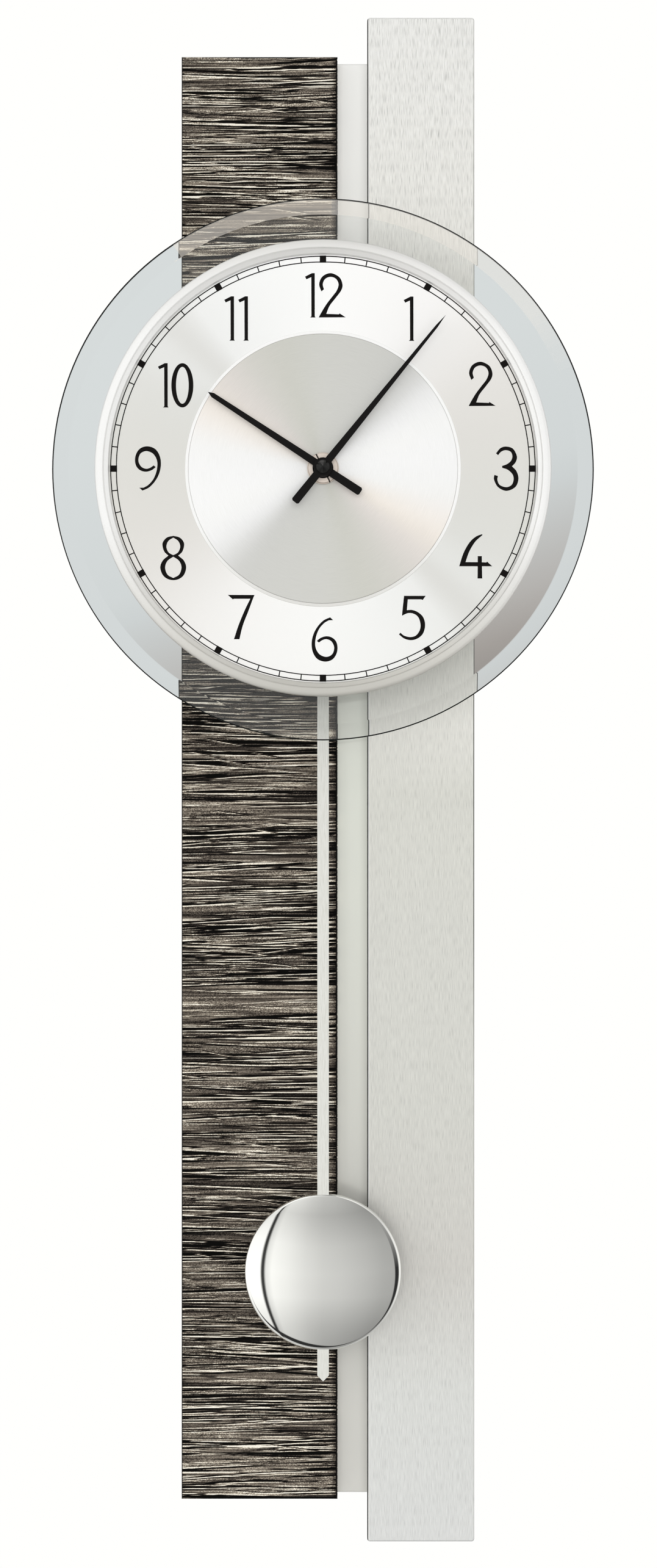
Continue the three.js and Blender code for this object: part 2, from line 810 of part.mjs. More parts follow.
// The front shell, with the threaded bushing, the bay wall, the posts and the bearings
function caseFront() {
  const outer = slab(caseOutline(0), caseFloor, caseFace);
  const inner = slab(caseOutline(caseWall), caseFloor - past, caseCeiling);
  const bayWall = block(-bayHalf - caseWall / 2, bayHalf + caseWall / 2, bayTop, -trainRoom,
    caseFloor, caseCeiling + caseWall / 2);
  const posts = platePosts.map(
    (place) => at(
      disc(postRadius, middlePlateFront, caseFace - caseWall / 2, tinyFacets), place));
  const circuitPosts = pcbPosts.map(
    (place) => at(disc(postRadius, pcbFront, caseFace - caseWall / 2, tinyFacets), place));
  const stud = at(
    disc(studRadius, cannonBack, caseFace - caseWall / 2, tinyFacets), minuteWheelPlace);
  const bearings = [thirdPlace, knobPlace].map((place) => at(
    disc(bearingRadius, caseCeiling - bearingHeight, caseFace - caseWall / 2, tinyFacets), place));
  const bushing = disc(bushingRadius, caseCeiling, bushingFront, roundFacets);
  const body = joined([
    outer.subtract(inner), bayWall, stud, bushing, ...posts, ...circuitPosts, ...bearings,
  ]);
  return without(body, [
    disc(bushingBore, caseCeiling - past, bushingFront + past, roundFacets),
    ...[thirdPlace, knobPlace].map((place) => at(
      disc(pivotRadius + gearAir, caseFloor, caseCeiling, tinyFacets), place)),
  ]);
}

// The back cover, open over the battery, with the train's rear bearings
function caseBack() {
  const plate = slab(caseOutline(0), caseRear, caseFloor);
  const rearPlaces = [[0, 0], thirdPlace, intermediatePlace, rotorPlace];
  const bearings = rearPlaces.map(
    (place) => at(disc(
      bearingRadius, caseFloor - edgeChamfer, caseFloor + bearingHeight, tinyFacets), place));
  const holes = rearPlaces.map((place) => at(
    disc(pivotRadius + gearAir, caseFloor, caseFloor + bearingHeight + past, tinyFacets), place));
  return without(plate.add(joined(bearings)), [
    ...holes,
    at(disc(knobArbor + gearAir, caseRear - past, caseFloor + past, tinyFacets), knobPlace),
    at(disc(pivotPinRadius + gearAir, caseRear - past, caseFloor + past, tinyFacets),
      [0, pivotHeight]),
    block(-bayHalf + bayClearance, bayHalf - bayClearance, bayBottom + bayClearance / 2,
      bayTop - bayClearance / 2, caseRear - past, caseFloor + past),
  ]);
}

// The bridge between the train and the motion work
function middlePlate() {
  const corners = [
    [platePosts[0][0] - plateInset, platePosts[0][1]],
    [rotorPlace[0] - plateInset, rotorPlace[1] - plateInset],
    [rotorPlace[0] + plateInset, rotorPlace[1] - plateInset],
    [intermediatePlace[0] + 2 * plateInset, intermediatePlace[1] - plateInset],
    [plateInset, -2 * plateInset],
    [platePosts[2][0] + plateInset, platePosts[2][1] - plateInset],
    [platePosts[2][0] + plateInset, platePosts[2][1] + plateInset],
    [platePosts[1][0] + plateInset, platePosts[1][1] + plateInset],
    [platePosts[1][0] - plateInset, platePosts[1][1] + plateInset],
  ];
  const outline = new THREE.Shape(corners.map(([x, z]) => new THREE.Vector2(x, z)));
  const back = middlePlateBack - past;
  const front = middlePlateFront + past;
  return without(slab(outline, middlePlateBack, middlePlateFront), [
    disc(minuteArborRadius + gearAir, back, front, smallFacets),
    at(disc(arborRadius + gearAir, back, front, tinyFacets), thirdPlace),
    at(disc(pivotRadius + gearAir, back, front, tinyFacets), intermediatePlace),
    at(disc(pivotRadius + gearAir, back, front, tinyFacets), rotorPlace),
  ]);
}

// The cell's can, with its positive nub toward +X
function battery() {
  const geometry = new THREE.LatheGeometry([
    new THREE.Vector2(0, -batteryLength / 2),
    new THREE.Vector2(batteryRadius - edgeChamfer, -batteryLength / 2),
    new THREE.Vector2(batteryRadius, -batteryLength / 2 + edgeChamfer),
    new THREE.Vector2(batteryRadius, batteryLength / 2 - edgeChamfer),
    new THREE.Vector2(batteryRadius - edgeChamfer, batteryLength / 2),
    new THREE.Vector2(batteryNub, batteryLength / 2),
    new THREE.Vector2(batteryNub, batteryLength / 2 + batteryNubHeight),
    new THREE.Vector2(0, batteryLength / 2 + batteryNubHeight),
  ], boreFacets);
  geometry.rotateZ(-Math.PI / 2);
  const shift = bayHalf - 2 * contactSheet - batteryLength / 2 - batteryNubHeight - handFit;
  geometry.translate(shift, -batteryDepth, batteryPlace[1]);
  return solidOf(geometry);
}

function batteryContact() {
  const middle = batteryPlace[1];
  return block(bayHalf - 2 * contactSheet, bayHalf - contactSheet, middle - contactHeight / 2,
    middle + contactHeight / 2, caseFloor + bayClearance, caseCeiling - bayClearance);
}

// The coil spring that presses on the flat end of the cell
function batterySpring() {
  const start = -bayHalf + contactSheet;
  const can = bayHalf - 2 * contactSheet - batteryLength - batteryNubHeight - handFit;
  const reach = can - start - 2 * springWire - 2 * handFit;
  class Helix extends THREE.Curve {
    getPoint(share, target = new THREE.Vector3()) {
      const angle = 2 * Math.PI * springTurns * share;
      const radius = springRadius + (springInner - springRadius) * share;
      return target.set(
        start + springWire + handFit + reach * share,
        -batteryDepth + radius * Math.cos(angle),
        batteryPlace[1] + radius * Math.sin(angle));
    }
  }
  const section = new THREE.Shape();
  section.absarc(0, 0, springWire, 0, 2 * Math.PI);
  const geometry = new THREE.ExtrudeGeometry(section, {
    steps: Math.round(springTurns * springSteps),
    extrudePath: new Helix(),
    curveSegments: springSides,
  });
  return solidOf(geometry);
}

// Phases of the train, chosen from the centre wheel outward
const centrePhase = 0;
const thirdPinionPhase = meshed(centrePhase, centreTeeth, thirdDirection, thirdLeaves);
const thirdWheelPhase = 0;
const secondsPinionPhase = meshed(
  thirdWheelPhase, thirdTeeth, thirdDirection + halfTurn, secondsLeaves);
const secondsWheelPhase = 0;
const intermediatePinionPhase = meshed(
  secondsWheelPhase, secondsTeeth, intermediateDirection, intermediateLeaves);
const intermediateWheelPhase = 0;
const rotorPhase = meshed(intermediateWheelPhase, intermediateTeeth, rotorDirection, rotorLeaves);
const cannonPhase = 0;
const minuteWheelPhase = meshed(cannonPhase, cannonLeaves, minuteWheelDirection, minuteTeeth);
const minutePinionPhase = 0;
const hourWheelPhase = meshed(
  minutePinionPhase, minuteLeaves, minuteWheelDirection + halfTurn, hourTeeth);
const knobPhase = meshed(minuteWheelPhase, minuteTeeth, knobDirection, knobLeaves);

// The minute arbor: centre wheel, cannon pinion and the stem that carries the minute hand
function minuteArbor() {
  const threadEnd = minuteHandFront + handNutHeight - handNutTop;
  const stem = turned([
    [0, minuteArborBack], [minuteArborRadius, minuteArborBack],
    [minuteArborRadius, minuteHandFront - handFit], [handThread, minuteHandFront - handFit],
    [handThread, threadEnd], [0, threadEnd],
  ], smallFacets);
  const body = joined([
    stem,
    wheel(centreTeeth, centreModule, centrePhase, centreWheelBack),
    pinion(cannonLeaves, motionModule, cannonPhase, cannonBack, cannonFront),
  ]);
  return body.subtract(
    disc(pivotRadius + gearAir, minuteArborBack - past, middlePlateFront, tinyFacets));
}

// The hour wheel and the tube that carries the hour hand
function hourWheel() {
  const hubRadius = hourTubeRadius + hourTubeAir;
  const body = joined([
    wheel(hourTeeth, hourModule, hourWheelPhase, hourWheelBack),
    disc(hubRadius, hourWheelBack, caseCeiling - gearAir),
    disc(hourTubeRadius, hourWheelBack, hourHandFront),
  ]);
  return body.subtract(
    disc(minuteArborRadius + hourTubeAir, hourWheelBack - past, hourHandFront + past));
}

// The minute wheel of the motion work, running on a stud of the case
function minuteWheel() {
  const hubRadius = 2 * studRadius;
  const body = joined([
    wheel(minuteTeeth, motionModule, minuteWheelPhase, minuteWheelBack),
    pinion(minuteLeaves, hourModule, minutePinionPhase, minuteWheelBack, minutePinionFront),
    disc(hubRadius, minuteWheelBack, caseCeiling - gearAir, tinyFacets),
  ]);
  return at(body.subtract(
    disc(studRadius + gearAir, minuteWheelBack - past, caseCeiling, tinyFacets)),
  minuteWheelPlace);
}

function thirdWheel() {
  const front = caseCeiling - bearingHeight - gearAir;
  const pinionFront = thirdPinionBack + pinionLength;
  return at(joined([
    arbor(caseFloor + bearingHeight + gearAir, front, caseFloor + gearAir, caseCeiling - gearAir),
    wheel(thirdTeeth, thirdModule, thirdWheelPhase, thirdWheelBack),
    pinion(thirdLeaves, centreModule, thirdPinionPhase, thirdPinionBack, pinionFront),
  ]), thirdPlace);
}

function secondsWheel() {
  return joined([
    arbor(caseFloor + bearingHeight + gearAir, secondsPinionFront, caseFloor + gearAir,
      middlePlateFront - 2 * gearAir),
    wheel(secondsTeeth, secondsModule, secondsWheelPhase, secondsWheelBack),
    pinion(secondsLeaves, thirdModule, secondsPinionPhase, secondsWheelBack, secondsPinionFront),
  ]);
}

function intermediateWheel() {
  const pinionFront = secondsWheelFront + gearAir;
  return at(joined([
    arbor(intermediateWheelBack, middlePlateBack - gearAir, caseFloor + gearAir,
      middlePlateFront),
    wheel(intermediateTeeth, rotorModule, intermediateWheelPhase, intermediateWheelBack),
    pinion(intermediateLeaves, secondsModule, intermediatePinionPhase, intermediateWheelBack,
      pinionFront),
  ]), intermediatePlace);
}

const rotorMagnetBack = secondsWheelBack + gearAir;
const rotorMagnetFront = middlePlateBack - gearAir;

function rotor() {
  return at(joined([
    arbor(intermediateWheelBack, rotorMagnetFront, caseFloor + gearAir, middlePlateFront),
    pinion(rotorLeaves, rotorModule, rotorPhase, intermediateWheelBack,
      intermediateWheelFront + gearAir),
    disc(rotorMagnetRadius, rotorMagnetBack, rotorMagnetFront),
  ]), rotorPlace);
}

// The knob behind the case and its arbor up to the minute wheel
function settingKnob() {
  const grip = new THREE.Shape();
  const steps = 2 * knobLobes;
  for (let step = 0; step < steps; step += 1) {
    const angle = (2 * Math.PI * step) / steps;
    const radius = knobRadius - (step % 2) * knobLobeDepth;
    const x = radius * Math.cos(angle);
    const z = radius * Math.sin(angle);
    if (step === 0) {
      grip.moveTo(x, z);
    } else {
      grip.lineTo(x, z);
    }
  }
  const knobBack = caseRear - gearAir - knobHeight;
  const pinionBack = minuteWheelBack - gearAir;
  const pinionFront = minuteWheelFront + gearAir;
  return at(joined([
    slab(grip, knobBack, caseRear - gearAir),
    disc(knobArbor, knobBack, pinionFront, tinyFacets),
    pinion(knobLeaves, motionModule, knobPhase, pinionBack, pinionFront),
    disc(arborRadius, pinionBack, caseCeiling - bearingHeight - gearAir, tinyFacets),
    disc(pivotRadius, pinionBack, caseCeiling - gearAir, tinyFacets),
  ]), knobPlace);
}

const coilHeight = rotorPlace[1];
const coreBack = rotorMagnetFront - statorThickness;
const statorBack = coreBack - statorThickness;
const coilDepth = coreBack + statorThickness / 2;
const coilRight = coilLeft + coilLength;
const statorRight = coilRight + 2 * coreWidth;

// The stator sheet round the rotor, with a return arm below the coil
function statorPlate() {
  const left = rotorPlace[0] - statorHole - statorMargin;
  const right = rotorPlace[0] + statorHole + statorMargin;
  const low = -trainRoom + gearAir;
  const arm = low + coreWidth;
  const body = joined([
    block(left, right, low, coilHeight + statorHole + statorRim, statorBack, coreBack),
    block(left, statorRight, low, arm, statorBack, coreBack),
    block(statorRight - coreWidth, statorRight, low, coilHeight + coreWidth, statorBack, coreBack),
  ]);
  return body.subtract(at(disc(statorHole, statorBack - past, coreBack + past), rotorPlace));
}

// The core lies on the stator at both ends and passes through the winding
function coilCore() {
  const left = rotorPlace[0] + statorHole + gearAir;
  return block(left, statorRight, coilHeight - coreWidth / 2, coilHeight + coreWidth / 2,
    coreBack, coreBack + statorThickness);
}

// The winding between two flanges, on the axis of the core
function driveCoil() {
  const flange = coilRadius;
  const wound = coilRadius - edgeChamfer;
  const geometry = new THREE.LatheGeometry([
    new THREE.Vector2(0, coilLeft), new THREE.Vector2(flange, coilLeft),
    new THREE.Vector2(flange, coilLeft + coilFlange),
    new THREE.Vector2(wound, coilLeft + coilFlange),
    new THREE.Vector2(wound, coilRight - coilFlange),
    new THREE.Vector2(flange, coilRight - coilFlange),
    new THREE.Vector2(flange, coilRight), new THREE.Vector2(0, coilRight),
  ], smallFacets);
  geometry.rotateZ(-Math.PI / 2);
  geometry.translate(0, -coilDepth, coilHeight);
  const bore = block(coilLeft - past, coilRight + past,
    coilHeight - coreWidth / 2 - coreFit, coilHeight + coreWidth / 2 + coreFit,
    coreBack - coreFit, coreBack + statorThickness + coreFit);
  return solidOf(geometry).subtract(bore);
}

function circuitBoard() {
  return block(-boardWidthPcb / 2, boardWidthPcb / 2, pcbLift - boardHeightPcb / 2,
    pcbLift + boardHeightPcb / 2, pcbBack, pcbFront);
}

function circuitChip() {
  return block(-chipWidth / 2, chipWidth / 2, pcbLift - chipHeight / 2,
    pcbLift + chipHeight / 2, pcbFront, pcbFront + chipThickness);
}

function quartzCrystal() {
  const geometry = new THREE.CylinderGeometry(
    crystalRadius, crystalRadius, crystalLength, smallFacets / 2);
  geometry.rotateZ(Math.PI / 2);
  geometry.translate(0, -pcbFront - crystalRadius - handFit, pcbLift + crystalLift);
  return solidOf(geometry);
}

const magnetPlace = [0, pivotHeight - magnetDrop];
const hookPlace = [0, pivotHeight - hookDrop];
const rodTip = bobDrop + rodBelowBob;

function pendulumCoil() {
  return at(ring(coilPendulumBore, coilPendulumRadius, caseFloor,
    caseFloor + coilPendulumHeight, smallFacets), magnetPlace);
}

// The pin that the pendulum swings on, flanged on the case back
function pivotPin() {
  const flange = caseRear - leaderAir / 2;
  return at(turned([
    [0, leaderBack - pinFit - pinHeadHeight], [pinHead, leaderBack - pinFit - pinHeadHeight],
    [pinHead, leaderBack - pinFit], [pivotPinRadius, leaderBack - pinFit],
    [pivotPinRadius, flange], [pinHead, flange], [pinHead, caseRear],
    [pivotPinRadius, caseRear], [pivotPinRadius, caseFloor], [0, caseFloor],
  ], tinyFacets), [0, pivotHeight]);
}

// The arm that hangs on the pivot pin, with the magnet's pocket and the hook for the rod
function leaderArm() {
  const half = leaderWidth / 2;
  const arm = slab(new THREE.Shape([
    new THREE.Vector2(-half, hookPlace[1]), new THREE.Vector2(half, hookPlace[1]),
    new THREE.Vector2(half, pivotHeight), new THREE.Vector2(-half, pivotHeight),
  ]), leaderBack, leaderFront);
  const hookEnd = rodBack - pinFit - pinHeadHeight;
  const body = joined([
    arm,
    at(disc(leaderHub, leaderBack, leaderFront), [0, pivotHeight]),
    at(disc(leaderMagnetBoss, leaderBack, leaderFront), magnetPlace),
    at(disc(half, leaderBack, leaderFront), hookPlace),
    at(disc(hookPinRadius, rodBack - pinFit, leaderFront, tinyFacets), hookPlace),
    at(disc(pinHead, hookEnd, rodBack - pinFit, tinyFacets), hookPlace),
  ]);
  return without(body, [
    at(disc(pivotPinRadius + pinFit, leaderBack - past, leaderFront + past), [0, pivotHeight]),
    at(disc(magnetRadius + handFit, leaderFront - magnetHeight, leaderFront + past), magnetPlace),
  ]);
}

function leaderMagnet() {
  return at(disc(magnetRadius, leaderFront - magnetHeight, leaderFront), magnetPlace);
}

// The flat rod: an eye on the hook, a long bar and a pointed end below the bob
function pendulumRod() {
  const half = rodWidth / 2;
  const bar = slab(new THREE.Shape([
    new THREE.Vector2(half, hookPlace[1]), new THREE.Vector2(-half, hookPlace[1]),
    new THREE.Vector2(-half, -rodTip + rodPoint), new THREE.Vector2(0, -rodTip),
    new THREE.Vector2(half, -rodTip + rodPoint),
  ]), rodBack, rodFront);
  const eye = at(disc(rodEye, rodBack, rodFront), hookPlace);
  return bar.add(eye).subtract(
    at(disc(hookPinRadius + pinFit, rodBack - past, rodFront + past), hookPlace));
}

const bobRim = rodBack - bobGap - bobGap;

// The dish of the bob, pressed from sheet, notched above and below for the rod
function bobShell() {
  const crownRadius = (bobRadius * bobRadius + bobRise * bobRise) / (2 * bobRise);
  const sweep = Math.asin(bobRadius / crownRadius);
  const outer = [];
  const inner = [];
  for (let step = 0; step <= domeSteps; step += 1) {
    const angle = (sweep * step) / domeSteps;
    const depth = bobRim + bobSheet + bobRise - crownRadius * (1 - Math.cos(angle));
    const radius = crownRadius * Math.sin(angle);
    outer.push([radius, depth]);
    inner.push([Math.max(radius - bobSheet * Math.sin(angle) - (step && bobSheet / 2), 0),
      depth - bobSheet]);
  }
  const profile = [
    ...outer,
    [bobRadius, bobRim],
    [bobRadius - 2 * bobSheet, bobRim],
    ...inner.slice(0, -1).reverse(),
  ];
  const notch = block(-rodWidth / 2 - bobGap, rodWidth / 2 + bobGap,
    -bobRadius - past, bobRadius + past, bobRim - past, rodFront + bobGap);
  return at(turned(profile, bobFacets).subtract(notch), [0, -bobDrop]);
}

function bobBack() {
  const front = bobRim - bobGap;
  return at(turned([
    [0, front - bobBackSheet], [bobRadius - 2 * bobSheet, front - bobBackSheet],
    [bobRadius - bobSheet / 2, front], [0, front],
  ], bobFacets), [0, -bobDrop]);
}

// The clip that straddles the rod inside the bob and grips it
function bobClip() {
  const inner = rodWidth / 2 + 2 * bobGap;
  const outer = inner + clipSheet;
  const crown = rodFront + bobGap;
  const back = bobRim - bobGap;
  const body = block(-outer, outer, -clipHeight / 2, clipHeight / 2, back, crown + clipSheet);
  const slot = block(-inner, inner, -clipHeight / 2 - past, clipHeight / 2 + past,
    back - past, crown);
  return at(body.subtract(slot), [0, -bobDrop]);
}

function carcass() {
  const group = new THREE.Group();
  group.add(piece("back_board", backBoard(), lacquer));
  group.add(piece("wood_panel", woodPanel(), driftwood));
  group.add(piece("aluminium_core", aluminiumCore(), fibreboard));
  group.add(piece("aluminium_face", aluminiumFace(), brushed));
  group.add(piece("hanger_plate", hangerPlate(), steel));
  hangerScrewPlaces.forEach((place, count) => {
    group.add(piece(`hanger_screw_${count + 1}`, at(hangerScrew(), place), steel));
  });
  [...woodScrewPlaces, ...faceScrewPlaces].forEach((place, count) => {
    const solid = at(screw(panelScrewLength, screwHeadSink), place);
    group.add(piece(`panel_screw_${count + 1}`, solid, steel));
  });
  housingScrewPlaces.forEach((place, count) => {
    const length = housingScrewEnd - screwHeadSink - screwHeadHeight;
    group.add(piece(`housing_screw_${count + 1}`, at(screw(length, screwHeadSink), place), steel));
  });
  return group;
}

function head() {
  const group = new THREE.Group();
  const gasket = ring(glassBore, gasketRadius, housingFront, glassBack);
  const pad = ring(padInner, padInner + padWidth, glassFront, dialBack);
  const centre = ring(
    bushingRadius + stackFit, centreDiscRadius, dialFront, centreDiscFront, fineFacets);
  const washer = ring(bushingRadius + stackFit, washerRadius, centreDiscFront, washerFront,
    boreFacets);
  group.add(piece("movement_housing", movementHousing(), palePlastic));
  group.add(piece("glass_gasket", gasket, rubber));
  group.add(piece("glass_disc", glassDisc(), clearGlass));
  group.add(piece("dial_pad", pad, rubber));
  group.add(piece("dial_plate", dialPlate(), satinSilver));
  group.add(piece("centre_disc", centre, satinSilver));
  group.add(piece("bezel_ring", bezelRing(), satinSilver));
  group.add(piece("fixing_washer", washer, steel));
  group.add(piece("ring_nut", ringNut(), brass));
  return group;
}

function movement() {
  const group = new THREE.Group();
  group.add(piece("case_front", caseFront(), darkPlastic));
  group.add(piece("case_back", caseBack(), darkPlastic));
  group.add(piece("middle_plate", middlePlate(), nylon));
  group.add(piece("battery", battery(), cellSleeve));
  group.add(piece("battery_contact", batteryContact(), steel));
  group.add(piece("battery_spring", batterySpring(), steel));
  group.add(piece("circuit_board", circuitBoard(), circuitGreen));
  group.add(piece("circuit_chip", circuitChip(), darkPlastic));
  group.add(piece("quartz_crystal", quartzCrystal(), steel));
  group.add(piece("stator_plate", statorPlate(), steel));
  group.add(piece("coil_core", coilCore(), steel));
  group.add(piece("drive_coil", driveCoil(), copper));
  group.add(piece("pendulum_coil", pendulumCoil(), copper));
  group.add(piece("pivot_pin", pivotPin(), steel));
  return group;
}

function train() {
  const group = new THREE.Group();
  group.add(piece("rotor", rotor(), nylon));
  group.add(piece("intermediate_wheel", intermediateWheel(), nylon));
  group.add(piece("seconds_wheel", secondsWheel(), nylon));
  group.add(piece("third_wheel", thirdWheel(), nylon));
  group.add(piece("minute_arbor", minuteArbor(), brass));
  group.add(piece("minute_wheel", minuteWheel(), nylon));
  group.add(piece("hour_wheel", hourWheel(), nylon));
  group.add(piece("setting_knob", settingKnob(), nylon));
  return group;
}

function hands() {
  const group = new THREE.Group();
  const minuteTurn = (shownMinute / 60) * 2 * Math.PI;
  const hourTurn = ((shownHour + shownMinute / 60) / 12) * 2 * Math.PI;
  const hour = piece("hour_hand", hourHand(), blackEnamel);
  hour.rotation.y = hourTurn;
  const minute = piece("minute_hand", minuteHand(), blackEnamel);
  minute.rotation.y = minuteTurn;
  group.add(hour, minute, piece("hand_nut", handNut(), blackEnamel));
  return group;
}

function pendulum() {
  const group = new THREE.Group();
  group.add(piece("leader_arm", leaderArm(), nylon));
  group.add(piece("leader_magnet", leaderMagnet(), steel));
  group.add(piece("pendulum_rod", pendulumRod(), satinSilver));
  group.add(piece("bob_shell", bobShell(), chrome));
  group.add(piece("bob_back", bobBack(), steel));
  group.add(piece("bob_clip", bobClip(), steel));
  return group;
}

const clock = new THREE.Group();
clock.add(carcass(), head(), movement(), train(), hands(), pendulum());
clock.position.z = -hangerHeightAbove;

export default clock;
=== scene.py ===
"""Looks of the wall pendulum clock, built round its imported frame. Metres, +Z up, viewer at -Y."""
import json
import math

import bpy
import numpy as np
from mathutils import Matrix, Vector
from mathutils.geometry import tessellate_polygon

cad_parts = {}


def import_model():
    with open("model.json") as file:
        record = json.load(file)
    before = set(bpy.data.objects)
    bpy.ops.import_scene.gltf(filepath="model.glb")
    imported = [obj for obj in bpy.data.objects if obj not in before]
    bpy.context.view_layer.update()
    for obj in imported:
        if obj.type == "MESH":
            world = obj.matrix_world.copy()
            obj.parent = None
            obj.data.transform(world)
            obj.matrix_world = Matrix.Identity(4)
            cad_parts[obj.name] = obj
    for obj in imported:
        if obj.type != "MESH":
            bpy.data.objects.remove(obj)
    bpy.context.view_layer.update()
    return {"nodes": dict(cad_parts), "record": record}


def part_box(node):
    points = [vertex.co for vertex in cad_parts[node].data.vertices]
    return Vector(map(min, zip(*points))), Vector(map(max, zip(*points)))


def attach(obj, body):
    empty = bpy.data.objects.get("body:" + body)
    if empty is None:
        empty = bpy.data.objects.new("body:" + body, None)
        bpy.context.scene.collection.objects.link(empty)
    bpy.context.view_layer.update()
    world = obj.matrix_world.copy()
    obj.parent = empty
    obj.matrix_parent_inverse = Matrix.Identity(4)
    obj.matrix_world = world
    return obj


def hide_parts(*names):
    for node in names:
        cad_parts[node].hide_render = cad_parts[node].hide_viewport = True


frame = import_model()
MM = 0.001

# Camera: straight on, as far away as the photograph's perspective asks
CAMERA_PLACE = Vector((2.35, -1521.0, -283.5)) * MM
CAMERA_DISTANCE = 1500.0
FRAME_HEIGHT_MM = 689.3
SENSOR = 36.0


def make_camera():
    data = bpy.data.cameras.new("camera")
    data.sensor_width = SENSOR
    data.lens = SENSOR * CAMERA_DISTANCE / FRAME_HEIGHT_MM
    data.clip_start = 0.05
    data.clip_end = 50.0
    camera = bpy.data.objects.new("camera", data)
    camera.location = CAMERA_PLACE
    camera.rotation_euler = (math.radians(90), 0, 0)
    bpy.context.scene.collection.objects.link(camera)
    bpy.context.scene.camera = camera


make_camera()

# Places that the frame gives
AXIS = Vector((0.0, 0.0, -0.150))
DIAL_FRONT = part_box("dial_plate")[0].y / MM
BOB = Vector((0.0, 0.0, sum(corner.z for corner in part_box("bob_shell")) / 2))

# Segments of a turn
FINE = 192
ROUND = 96
SMALL = 48
# The part of a noise in which it counts as marks
MARKS = (0.3, 0.7)


def srgb(red, green, blue):
    """A colour as it reads on screen, 0 to 255, turned linear."""
    def linear(value):
        share = value / 255
        if share <= 0.04045:
            return share / 12.92
        return ((share + 0.055) / 1.055) ** 2.4
    return (linear(red), linear(green), linear(blue), 1.0)


class Graph:
    """The shader nodes of a material or of the world, each made and linked in one line."""

    def __init__(self, owner, space):
        owner.use_nodes = True
        self.tree = owner.node_tree
        self.tree.nodes.clear()
        self.place = self.add("TexCoord").outputs[space]

    def add(self, kind, **settings):
        node = self.tree.nodes.new("ShaderNode" + kind)
        for key, value in settings.items():
            setattr(node, key, value)
        return node

    def feed(self, socket, value):
        if isinstance(value, bpy.types.NodeSocket):
            self.tree.links.new(value, socket)
        else:
            socket.default_value = value

    def fed(self, kind, *values, **settings):
        """The first result of a node whose inputs are fed in order."""
        node = self.add(kind, **settings)
        for socket, value in zip(node.inputs, values):
            self.feed(socket, value)
        return node.outputs[0]

    def named(self, node, **values):
        """The node, its inputs fed by name. An underscore stands for a space."""
        for key, value in values.items():
            self.feed(node.inputs[key.replace("_", " ")], value)
        return node

    def axes(self):
        return self.named(self.add("SeparateXYZ"), Vector=self.place).outputs

    def math(self, operation, first, second=0.0, third=0.0):
        return self.fed("Math", first, second, third, operation=operation)

    def times(self, first, second):
        return self.math("MULTIPLY", first, second)

    def minus(self, first, second):
        return self.math("SUBTRACT", first, second)

    def scaled(self, value, factor, shift):
        return self.math("MULTIPLY_ADD", value, factor, shift)

    def span(self, value, low, high, to_low=0.0, to_high=1.0):
        return self.fed("MapRange", value, low, high, to_low, to_high)

    def span_mm(self, value, start, low, high):
        """A span between two distances from a start, in millimetres."""
        return self.span(value, start + low * MM, start + high * MM)

    def mix(self, factor, first, second, blend="MIX"):
        node = self.add("Mix", data_type="RGBA", blend_type=blend)
        for index, value in ((0, factor), (6, first), (7, second)):
            self.feed(node.inputs[index], value)
        return node.outputs[2]

    def ramp(self, factor, stops, interpolation="LINEAR"):
        node = self.add("ValToRGB")
        node.color_ramp.interpolation = interpolation
        elements = node.color_ramp.elements
        while len(elements) < len(stops):
            elements.new(0.5)
        for element, (position, colour) in zip(elements, sorted(stops)):
            element.position = position
            element.color = colour
        return self.named(node, Fac=factor).outputs[0]

    def tones(self, factor, stops, interpolation="LINEAR"):
        """A ramp whose stops are a position and a colour's red, green and blue on screen."""
        return self.ramp(factor, [(p, srgb(*tone)) for p, *tone in stops], interpolation)

    def greys(self, factor, stops, blue=1.0):
        """A ramp whose stops are a position and a level, with blue at a share of it."""
        return self.ramp(factor, [(p, (level, level, level * blue, 1.0)) for p, level in stops])


MATERIALS = {}


